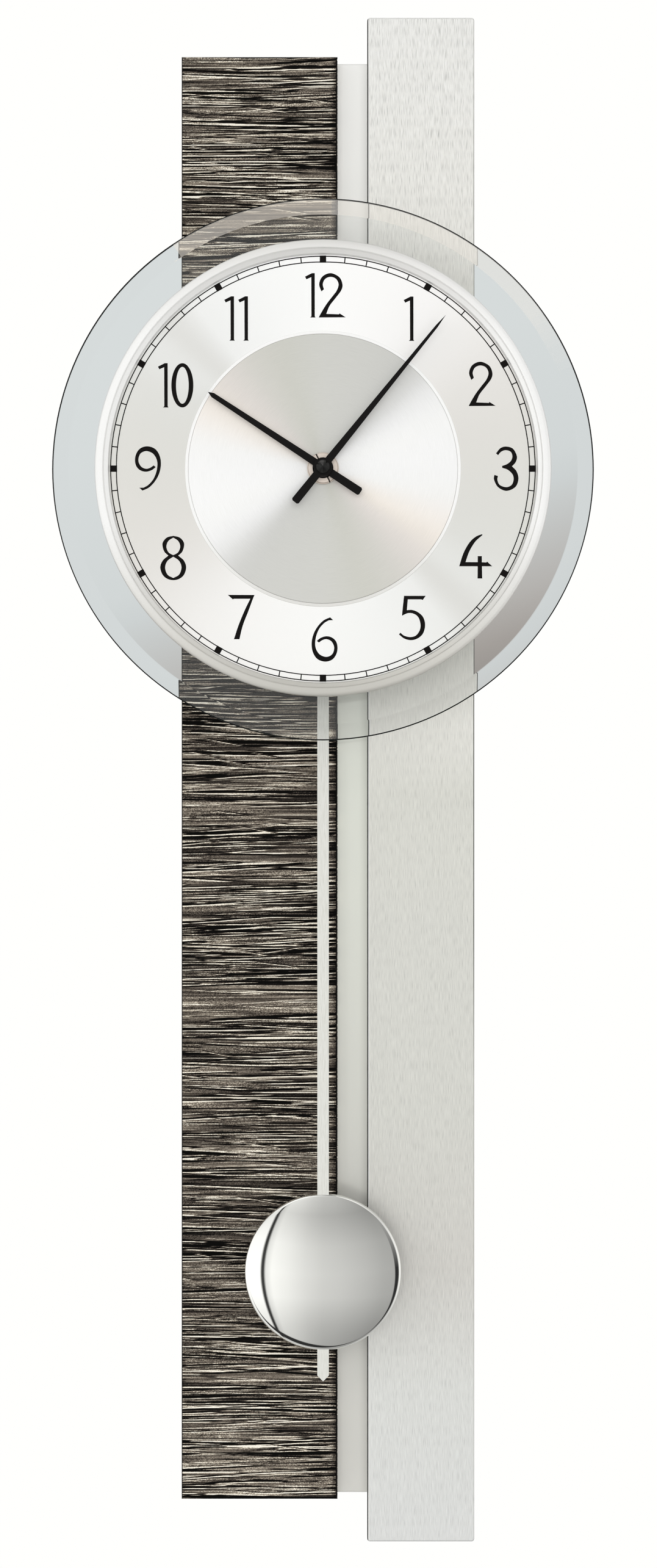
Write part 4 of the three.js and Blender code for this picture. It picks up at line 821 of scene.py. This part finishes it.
TRACK_INNER = 87.5
TRACK_OUTER = 89.9
TRACK_LINE = 0.42
MINUTE_LINE = 0.45
HOUR_MARK = 2.7
HOUR_MARK_PROUD = 0.3


def track_ring(radius):
    half = TRACK_LINE / 2
    return lathe([(radius - half, INK_BACK), (radius + half, INK_BACK),
                  (radius + half, INK_TOP), (radius - half, INK_TOP)], FINE)


def track_bar(minute, width, proud, top):
    angle = math.tau * minute / 60
    along = Vector((math.sin(angle), math.cos(angle)))
    across = Vector((math.cos(angle), -math.sin(angle))) * (width / 2)
    inner = along * (TRACK_INNER - proud)
    outer = along * (TRACK_OUTER + proud)
    corners = [inner - across, inner + across, outer + across, outer - across]
    return prism([corners], INK_BACK, top)


def minute_track():
    """Two rings with bars between them, and a thicker mark at each hour. No two tops are level."""
    forms = [track_ring(TRACK_INNER), track_ring(TRACK_OUTER)]
    forms += [track_bar(minute, MINUTE_LINE, 0.0, INK_TOP + INK_THICKNESS * 0.2)
              for minute in range(60) if minute % 5]
    printed("minute_track", forms)
    printed("hour_marks", [track_bar(minute, HOUR_MARK, HOUR_MARK_PROUD,
                                     INK_TOP - INK_THICKNESS * 0.3)
                           for minute in range(0, 60, 5)])


BEVEL_WIDTH = 6.8
BEVEL_DROP = 0.6
BEVEL_SEAM = 0.15
ARRIS_WIDTH = 0.5
# Heights over which the bevel's painted reflection grows, and the places left of which it has none
# or turns warm, in millimetres from the hands' axis
BEVEL_LIGHT_FROM = 42
BEVEL_LIGHT_RISE = 26
BEVEL_DIM_LEFT_OF = -63
BEVEL_WARM_LEFT_OF = 5


def depths(box):
    """The front and the back of a box, in millimetres."""
    return box[0].y / MM, box[1].y / MM


def glass_disc():
    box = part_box("glass_disc")
    front, back = depths(box)
    outer = box[1].x / MM
    bore = 5.5
    profile = [
        (bore, back), (outer - ARRIS_WIDTH, back), (outer, back - ARRIS_WIDTH),
        (outer, front + BEVEL_DROP + ARRIS_WIDTH), (outer - ARRIS_WIDTH, front + BEVEL_DROP),
        (outer - BEVEL_WIDTH + BEVEL_SEAM, front + 0.02),
        (outer - BEVEL_WIDTH - BEVEL_SEAM, front), (bore, front),
    ]
    made = piece("glass_plate", lathe(profile, FINE), "stand", "clear_glass", ("glass_disc",),
                 sharp=1)
    bevels = [f"ground_bevel_{step}" for step in range(BEVEL_STEPS)]
    for look in ["glass_edge", "glass_arris", *bevels, "ground_bevel_warm"]:
        made.data.materials.append(MATERIALS[look])
    for face in made.data.polygons:
        places = [(made.data.vertices[v].co - AXIS) / MM for v in face.vertices]
        radius = min(math.hypot(place.x, place.z) for place in places)
        across, _, rise = sum(places, Vector()) / len(places)
        if radius > outer - 0.01:
            face.material_index = 1
        elif radius > outer - ARRIS_WIDTH - 0.01:
            face.material_index = 2
        elif radius > outer - BEVEL_WIDTH - 0.2:
            # Painted reflection: higher faces of the bevel take a less clear step, and those over
            # the wood the warm one
            step = round((rise - BEVEL_LIGHT_FROM) / BEVEL_LIGHT_RISE * (BEVEL_STEPS - 1))
            step = 0 if across < BEVEL_DIM_LEFT_OF else min(max(step, 0), BEVEL_STEPS - 1)
            warm = step > 0 and across < BEVEL_WARM_LEFT_OF
            face.material_index = 3 + (BEVEL_STEPS if warm else step)


def turned_pieces():
    """The dial's round metal parts, with fine curves where the frame has facets."""
    front, back = depths(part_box("bezel_ring"))
    lip = DIAL_FRONT
    piece("bezel", lathe(filleted([
        (96.5, back, 0), (96.5, front + 0.2, 2.4), (93.0, front, 0.5), (92.6, front + 1.5, 0.3),
        (90.9, front + 2.6, 0.6), (90.5, lip, 0.1), (94.4, lip, 0.1), (94.4, back, 0),
    ]), FINE), "stand", "bezel_silver", ("bezel_ring",), sharp=35)
    front, back = depths(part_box("centre_disc"))
    piece("centre_plate", lathe(filleted([
        (4.4, back, 0), (57.0, back, 0), (57.0, front, 0.25), (4.4, front, 0.1),
    ]), FINE), "stand", "turned_silver", ("centre_disc",), sharp=35)
    piece("centre_trim", lathe(filleted([
        (57.05, lip + 0.05, 0), (58.5, lip + 0.05, 0), (58.4, lip - 0.35, 0.15),
        (57.15, lip - 0.35, 0.15),
    ]), FINE), "stand", "bezel_silver", sharp=35)
    front, back = depths(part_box("fixing_washer"))
    piece("washer", lathe(filleted([
        (4.4, back, 0), (6.2, back, 0), (6.2, front, 0.2), (4.4, front, 0.1),
    ]), SMALL), "stand", "zinc_steel", ("fixing_washer",))


def nuts():
    """The slotted ring nut round the bushing, and the conical nut that holds the hands."""
    front, back = depths(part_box("ring_nut"))
    step = front + 1.6
    bore = 4.4
    forms = [lathe(filleted([
        (bore, back, 0), (6.7, back, 0), (6.7, step, 0.25), (bore, step, 0),
    ]), SMALL)]
    for start, end in ((-25, 152), (152, 335)):
        outline = []
        for radius, turns in ((6.3, 1), (bore, -1)):
            gap = math.degrees(HALF_SLOT / radius)
            for degrees in np.linspace(start + gap, end - gap, 30)[::turns]:
                angle = math.radians(degrees)
                outline.append((radius * math.sin(angle), radius * math.cos(angle)))
        forms.append(prism([outline], step + 0.05, front))
    piece("slotted_nut", combined(forms), "stand", "pale_brass", ("ring_nut",), sharp=35)
    front, back = depths(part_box("hand_nut"))
    piece("conical_nut", lathe(filleted([
        (0, back, 0), (2.78, back, 0), (2.78, front + 2.6, 0.2), (1.9, front + 1.6, 0.3),
        (0.12, front, 0.05), (0, front, 0),
    ]), SMALL), "minute", "black_enamel", ("hand_nut",), "turned_black", sharp=50)


def bob():
    """A pressed dome with a rolled rim, and its back plate."""
    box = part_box("bob_shell")
    front, back = depths(box)
    radius = box[1].x / MM
    roll = 1.9
    roll_depth = 9.3
    sheet = 1.0
    reach = radius - roll
    crown = (reach ** 2 + roll_depth ** 2 - roll ** 2) / (2 * (roll_depth - roll))
    sweep = math.asin(reach / (crown - roll))

    def dome(inset, steps):
        """The crown from its middle outward, inset by a thickness."""
        return [((crown - inset) * math.sin(sweep * step / steps),
                 front + crown - (crown - inset) * math.cos(sweep * step / steps))
                for step in range(steps + 1)]
    profile = dome(0.0, 36)[:-1]
    for angle in np.linspace(sweep, math.pi / 2, 15):
        profile.append((reach + roll * math.sin(angle),
                        front + roll_depth - roll * math.cos(angle)))
    profile += [(radius, back - 0.25), (radius - 0.25, back), (radius - 1.2, back)]
    profile += dome(sheet, 20)[::-1]
    piece("bob_dome", lathe(profile, FINE, BOB), "swing", "polished_chrome", ("bob_shell",),
          sharp=60)
    front, back = depths(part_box("bob_back"))
    piece("bob_plate", lathe(filleted([
        (0, front, 0), (33.4, front, 0.1), (32.2, back, 0.4), (0, back, 0),
    ]), ROUND, BOB), "swing", "zinc_steel", ("bob_back",))


numerals()
minute_track()
glass_disc()
turned_pieces()
nuts()
bob()

# Wood skin: embossed relief over the panel's front, in millimetres
SKIN_STEP_X = 2.2
SKIN_STEP_Z = 0.2
SKIN_PROUD = 0.08
SKIN_RELIEF = 0.32
SKIN_WRAP = 0.6
SKIN_RAGGED = 0.08
WINDOW_LEFT = -31.0
WINDOW_BOTTOM = -193.9
WINDOW_TOP = -83.0
GRAIN_SWAY = 6.0
GRAIN_RIPPLE = 1.3
CRACKS = 1250
HAIRLINES = 3000
THREADS = 900
SLANTS = 120
SOFT_EDGE = 0.08


def lattice_noise(rows, columns, run, thickness, seed):
    """Smooth noise on a grid of rows and columns, run columns long and thickness rows high."""
    chance = np.random.default_rng(seed)
    lattice = chance.random((int(rows / thickness) + 3, int(columns / run) + 3))
    row = np.linspace(0, rows / thickness, rows)
    column = np.linspace(0, columns / run, columns)
    low_row, low_column = row.astype(int), column.astype(int)
    across = column - low_column
    up = row - low_row
    across = (across * across * (3 - 2 * across))[None, :]
    up = (up * up * (3 - 2 * up))[:, None]
    near, far = (lattice[r][:, low_column] * (1 - across) + lattice[r][:, low_column + 1] * across
                 for r in (low_row, low_row + 1))
    return near * (1 - up) + far * up


def grain_field(xs, zs):
    """The tone of the grain on a grid, 0 black to 1 cream, drawn stroke by stroke."""
    rows, columns = len(zs), len(xs)
    width, height = xs[-1] - xs[0], zs[-1] - zs[0]
    step_x, step_z = width / columns, height / rows

    def smooth(run, thickness, seed):
        return lattice_noise(rows, columns, run / step_x, thickness / step_z, seed)

    tone = 0.425 + 0.22 * (smooth(60, 7, 21) - 0.5) + 0.24 * (smooth(45, 2.2, 22) - 0.5)
    tone += 0.42 * (smooth(24, 0.55, 23) - 0.5)
    tone -= 0.09 * np.exp(-((zs[:, None] + 370) / 110) ** 2)
    tone += 0.02 * np.clip((zs[:, None] + 100) / 80, 0, 1)
    sway = GRAIN_SWAY * (smooth(150, 32, 24) - 0.5) + GRAIN_RIPPLE * (smooth(34, 6, 25) - 0.5)
    crowd = smooth(160, 6, 26)
    wobble = 0.5 + smooth(8, 1.5, 27)
    chance = np.random.default_rng(31)
    some = chance.uniform

    def stroke(x, z, length, thick, value, slant):
        first = max(int((x - xs[0]) / step_x), 0)
        last = min(int((x + length - xs[0]) / step_x), columns - 1)
        row = min(max(int((z - zs[0]) / step_z), 0), rows - 1)
        for column in range(first, last + 1):
            along = (xs[column] - x) / length
            if not 0 < along < 1:
                continue
            middle = z + sway[row, column] - sway[row, first] + slant * (xs[column] - x)
            half = thick / 2 * (4 * along * (1 - along)) ** 0.4 * wobble[row, column]
            low = int((middle - half - SOFT_EDGE - zs[0]) / step_z)
            high = int((middle + half + SOFT_EDGE - zs[0]) / step_z) + 2
            if high <= 0 or low >= rows:
                continue
            band = slice(max(low, 0), min(high, rows))
            share = np.clip(1 - (np.abs(zs[band] - middle) - half) / SOFT_EDGE, 0, 1)
            tone[band, column] += share * (value - tone[band, column])

    def somewhere(reach):
        return xs[0] + some(-reach, 0.95) * width, zs[0] + some(0, 1) * height

    def crack(reach, thick, length, black, lip_share, lip_thick, lip_highlight, spread):
        x, z = somewhere(reach)
        side = 1 if chance.random() < 0.62 else -1
        trim = some(0.0, 0.25)
        slant = chance.normal(0, spread)
        lipped = chance.random() < lip_share
        place = min(int((z - zs[0]) / step_z), rows - 1)
        if crowd[place, columns // 2] < some(0.0, 0.7):
            return
        stroke(x, z, length, thick, black, slant)
        # The lip beside a crack, most often below it, is partly the decor's cream and partly a
        # painted highlight along the groove's edge
        if lipped:
            shift = trim * length
            drop = side * (thick / 2 + lip_thick / 2 + 0.06)
            stroke(x + shift, z - drop + slant * shift, length - 1.6 * shift, lip_thick,
                   lip_highlight, slant)

    for _ in range(HAIRLINES):
        crack(0.4, some(0.14, 0.34), some(8, 44), some(0.04, 0.2), 0.55, some(0.12, 0.28),
              some(0.62, 0.92), 0.03)
    for _ in range(THREADS):
        x, z = somewhere(0.4)
        stroke(x, z, some(8, 45), some(0.1, 0.3), some(0.62, 0.95), chance.normal(0, 0.025))
    for _ in range(CRACKS):
        wide = (chance.random() < 0.12) * some(0.3, 0.8)
        crack(0.8, some(0.30, 0.72) + wide, some(20, 85), some(0.0, 0.08), 0.8,
              some(0.2, 0.46), some(0.78, 1.0), 0.024)
    for _ in range(SLANTS):
        x, z = somewhere(0.2)
        slant = some(-0.26, 0.16)
        length = some(8, 26)
        stroke(x, z, length, some(0.2, 0.4), some(0.0, 0.12), slant)
        # A pale line just below the slanting crack: partly a painted highlight along its edge
        stroke(x, z - 0.4, length * 0.8, 0.26, some(0.7, 1.0), slant)
    return np.clip(tone, 0, 1)


def skin_block(xs, depth, zs, tone, back):
    """A closed block whose front is a grid and whose back is flat, and its tones."""
    tall, wide = depth.shape
    front = np.stack([xs, depth, np.repeat(zs, wide).reshape(tall, wide)], -1).reshape(-1, 3)
    index = np.arange(tall * wide).reshape(tall, wide)
    faces = [(a, a + 1, a + wide + 1, a + wide) for a in index[:-1, :-1].ravel().tolist()]
    border = [*index[0], *index[1:, -1], *index[-1, -2::-1], *index[-2:0:-1, 0]]
    rim = front[border]
    rim[:, 1] = back
    start, count = len(front), len(border)
    for here in range(count):
        after = (here + 1) % count
        faces.append((border[after], border[here], start + here, start + after))
    faces.append(tuple(range(start + count - 1, start - 1, -1)))
    return (np.vstack([front, rim]) * MM).tolist(), faces, [*tone.ravel(), *[0.0] * count]


def wood_skin():
    """Three blocks, which leave the movement's window in the panel open."""
    low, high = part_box("wood_panel")
    left, right = low.x / MM - 0.04, high.x / MM + 0.04
    bottom, top = low.z / MM - 0.04, high.z / MM + 0.04
    front = low.y / MM
    columns = int((right - left) / SKIN_STEP_X)
    rows = int((top - bottom) / SKIN_STEP_Z)
    across = np.concatenate([[left, left + 0.25], np.linspace(left + 0.5, right - 0.8, columns),
                             [right - 0.5, right]])
    zs = np.concatenate([[bottom], np.linspace(bottom + 0.35, top - 0.35, rows), [top]])
    tone = grain_field(across, zs)
    depth = front - SKIN_PROUD - SKIN_RELIEF * tone
    depth[[0, -1], :] = front + SKIN_WRAP
    depth[:, [0, -1]] = front + SKIN_WRAP
    xs = np.tile(across, (rows + 2, 1))
    xs[1:-1, -1] -= SKIN_RAGGED * (1 - tone[1:-1, -1])
    xs[1:-1, [-3, -2]] -= 1.5 * SKIN_RAGGED * (1 - tone[1:-1, -1:])
    # Painted shade: the columns next to the panel's left and right edges are darkened, and its
    # wrapped sides are black
    tone[:, [1, -2]] *= 0.1
    tone[:, -3] *= 0.6
    tone[:, [0, -1]] = 0.0
    tone[[0, -1], :] = 0.0
    window_low = int(np.searchsorted(zs, WINDOW_BOTTOM)) - 1
    window_high = int(np.searchsorted(zs, WINDOW_TOP)) + 1
    window_left = int(np.searchsorted(across, WINDOW_LEFT)) - 1
    back = front + SKIN_WRAP + 0.1
    vertices, faces, tones = [], [], []
    for tall, wide in ((slice(0, window_low + 1), slice(None)),
                       (slice(window_high, None), slice(None)),
                       (slice(window_low, window_high + 1), slice(0, window_left + 1))):
        block = skin_block(xs[tall, wide], depth[tall, wide], zs[tall], tone[tall, wide], back)
        vertices, faces = combined([(vertices, faces), block[:2]])
        tones += block[2]
    made = piece("wood_relief", (vertices, faces), "stand", "driftwood",
                 look="embossed_grain", sharp=60)
    attribute = made.data.attributes.new("grain", "FLOAT", "POINT")
    attribute.data.foreach_set("value", np.array(tones, np.float32))


wood_skin()


LAMP_TARGET = Vector((0, 0, -0.28))
SOFT_LIGHT = (0.44, 0.44, 0.435, 1.0)
CAMERA_WHITE = (1.0, 1.0, 0.985, 1.0)
COOL_GLASS = (0.98, 1.03, 1.05, 1.0)
WARM_GLASS = (0.87, 0.80, 0.76, 1.0)
GREY_BLUE = 0.985
STUDIO_TILT = 8.1
BEND = 0.3
BEND_LOW = -0.05
# Levels of the studio round about, by degrees to the right of straight ahead
ROUND_ABOUT = [
    (-180, 0.6), (-120, 0.85), (-100, 1.18), (-43.2, 1.18), (-42.6, 0.05), (-40.6, 0.05),
    (-39.4, 0.86), (-35, 1.06), (-25, 0.96), (-12, 0.79), (0, 0.685), (12, 0.635),
    (30, 0.535), (42, 0.455), (56, 0.41), (60, 0.95), (110, 0.95), (150, 0.7), (180, 0.6),
]
UP_DOWN = [
    (0.0, 0.6), (0.10, 0.58), (0.20, 0.70), (0.36, 0.96), (0.50, 1.0), (0.66, 0.93),
    (0.82, 0.70), (0.90, 0.83), (1.0, 1.1),
]
# Levels of the backdrop seen through the glass, by direction: painted shade, as of a wall in the
# clock's shadow
THROUGH_GLASS = [
    (0.15, 0.71), (0.27, 0.70), (0.37, 0.665), (0.46, 0.50), (0.51, 0.34),
    (0.55, 0.29), (0.60, 0.42), (0.68, 0.56), (0.80, 0.62),
]
# A thin dark arc round straight ahead, which swells to the right and below
ARC_START = 0.585
ARC_THIN = 0.004
ARC_SWELL = 0.070
ARC_RIGHT = 1.27
ARC_BELOW = (-0.42, -1.19)
ARC_SHARP = 100.0
ARC_DARK = (0.03, 0.03, 0.03, 1.0)


def world():
    """White to the camera, painted shade of grey through glass, a studio in gloss, and plain soft
    light.
    """
    made = bpy.data.worlds.new("studio")
    sky = Graph(made, "Generated")
    x, y, z = sky.axes()
    cosine = math.cos(math.radians(STUDIO_TILT))
    sine = math.sin(math.radians(STUDIO_TILT))
    ahead = sky.minus(sky.times(y, -cosine), sky.times(z, sine))
    rise = sky.minus(sky.times(z, cosine), sky.times(y, sine))
    bend = sky.scaled(sky.times(rise, rise), BEND, sky.scaled(rise, BEND_LOW, 1.0))
    azimuth = sky.times(sky.math("ARCTAN2", x, ahead), bend)
    around = sky.greys(sky.scaled(azimuth, 1 / math.tau, 0.5),
                       [((turn + 180) / 360, level) for turn, level in ROUND_ABOUT], GREY_BLUE)
    studio = sky.mix(1.0, around, sky.greys(sky.scaled(rise, 0.5, 0.5), UP_DOWN, GREY_BLUE),
                     "MULTIPLY")

    def lobe(value, power):
        return sky.math("POWER", sky.math("MAXIMUM", value, 0.0), power)
    right = lobe(sky.times(x, ARC_RIGHT), 3.0)
    below = lobe(sky.scaled(x, ARC_BELOW[0], sky.times(rise, ARC_BELOW[1])), 6.0)
    thick = sky.scaled(sky.math("MAXIMUM", right, below), ARC_SWELL, ARC_THIN)
    inside = sky.minus(sky.math("ADD", thick, ARC_START), ahead)
    arc = sky.math("MINIMUM", sky.minus(ahead, ARC_START), inside)
    arc = sky.math("MINIMUM", sky.times(arc, ARC_SHARP), 1.0)
    arc = sky.math("MINIMUM", arc, sky.times(sky.minus(0.5, rise), 2.0))
    studio = sky.mix(sky.math("MAXIMUM", arc, 0.0), studio, ARC_DARK)
    # Painted shade on the backdrop seen through the glass
    drift = sky.scaled(z, -3.0, x)
    through = sky.greys(sky.scaled(drift, 0.8, 0.55), THROUGH_GLASS, GREY_BLUE)
    tint = sky.mix(sky.scaled(drift, 8.0, 1.6), COOL_GLASS, WARM_GLASS)
    through = sky.mix(1.0, through, tint, "MULTIPLY")
    through = sky.mix(sky.math("LESS_THAN", y, 0.0), through, studio)
    path = sky.add("LightPath").outputs
    seen = sky.mix(path["Is Camera Ray"], SOFT_LIGHT, CAMERA_WHITE)
    seen = sky.mix(path["Is Glossy Ray"], seen, studio)
    seen = sky.mix(path["Is Transmission Ray"], seen, through)
    sky.named(sky.add("OutputWorld"), Surface=sky.fed("Background", seen))
    bpy.context.scene.world = made


def lamp(name, place, size, watts):
    data = bpy.data.lights.new(name, "AREA")
    data.shape = "SQUARE"
    data.size = size
    data.energy = watts
    made = bpy.data.objects.new(name, data)
    made.location = place
    made.rotation_mode = "QUATERNION"
    made.rotation_quaternion = (LAMP_TARGET - made.location).to_track_quat("-Z", "Y")
    made.visible_glossy = False
    made.visible_transmission = False
    bpy.context.scene.collection.objects.link(made)


FLOOR_RADIUS = 0.62
FLOOR_BACK = -0.1
FLOOR_HEIGHT = -0.80


def floor():
    """A pale round floor below the clock, out of the photograph's view."""
    mesh = bpy.data.meshes.new("floor")
    angles = [math.tau * step / ROUND for step in range(ROUND)]
    rim = [(FLOOR_RADIUS * math.cos(angle), FLOOR_BACK + FLOOR_RADIUS * math.sin(angle),
            FLOOR_HEIGHT) for angle in angles]
    mesh.from_pydata(rim, [], [tuple(range(ROUND))])
    look = Look("floor", Roughness=0.9, Specular_IOR_Level=0.1)
    look.colour(look.mix(look.texture(120, 120, 120), (0.86, 0.86, 0.85, 1.0),
                         (0.9, 0.9, 0.89, 1.0)))
    mesh.materials.append(MATERIALS["floor"])
    made = bpy.data.objects.new("floor", mesh)
    bpy.context.scene.collection.objects.link(made)
    made.visible_glossy = False


world()
lamp("front", (0.2, -3.2, -0.2), 2.4, 49)
lamp("key", (-1.5, -1.9, 0.4), 1.4, 7)
lamp("fill", (1.7, -1.7, 0.1), 1.4, 5)
lamp("rear", (0.3, 1.8, 0.9), 1.6, 14)
floor()

bpy.context.scene.view_settings.view_transform = "Standard"
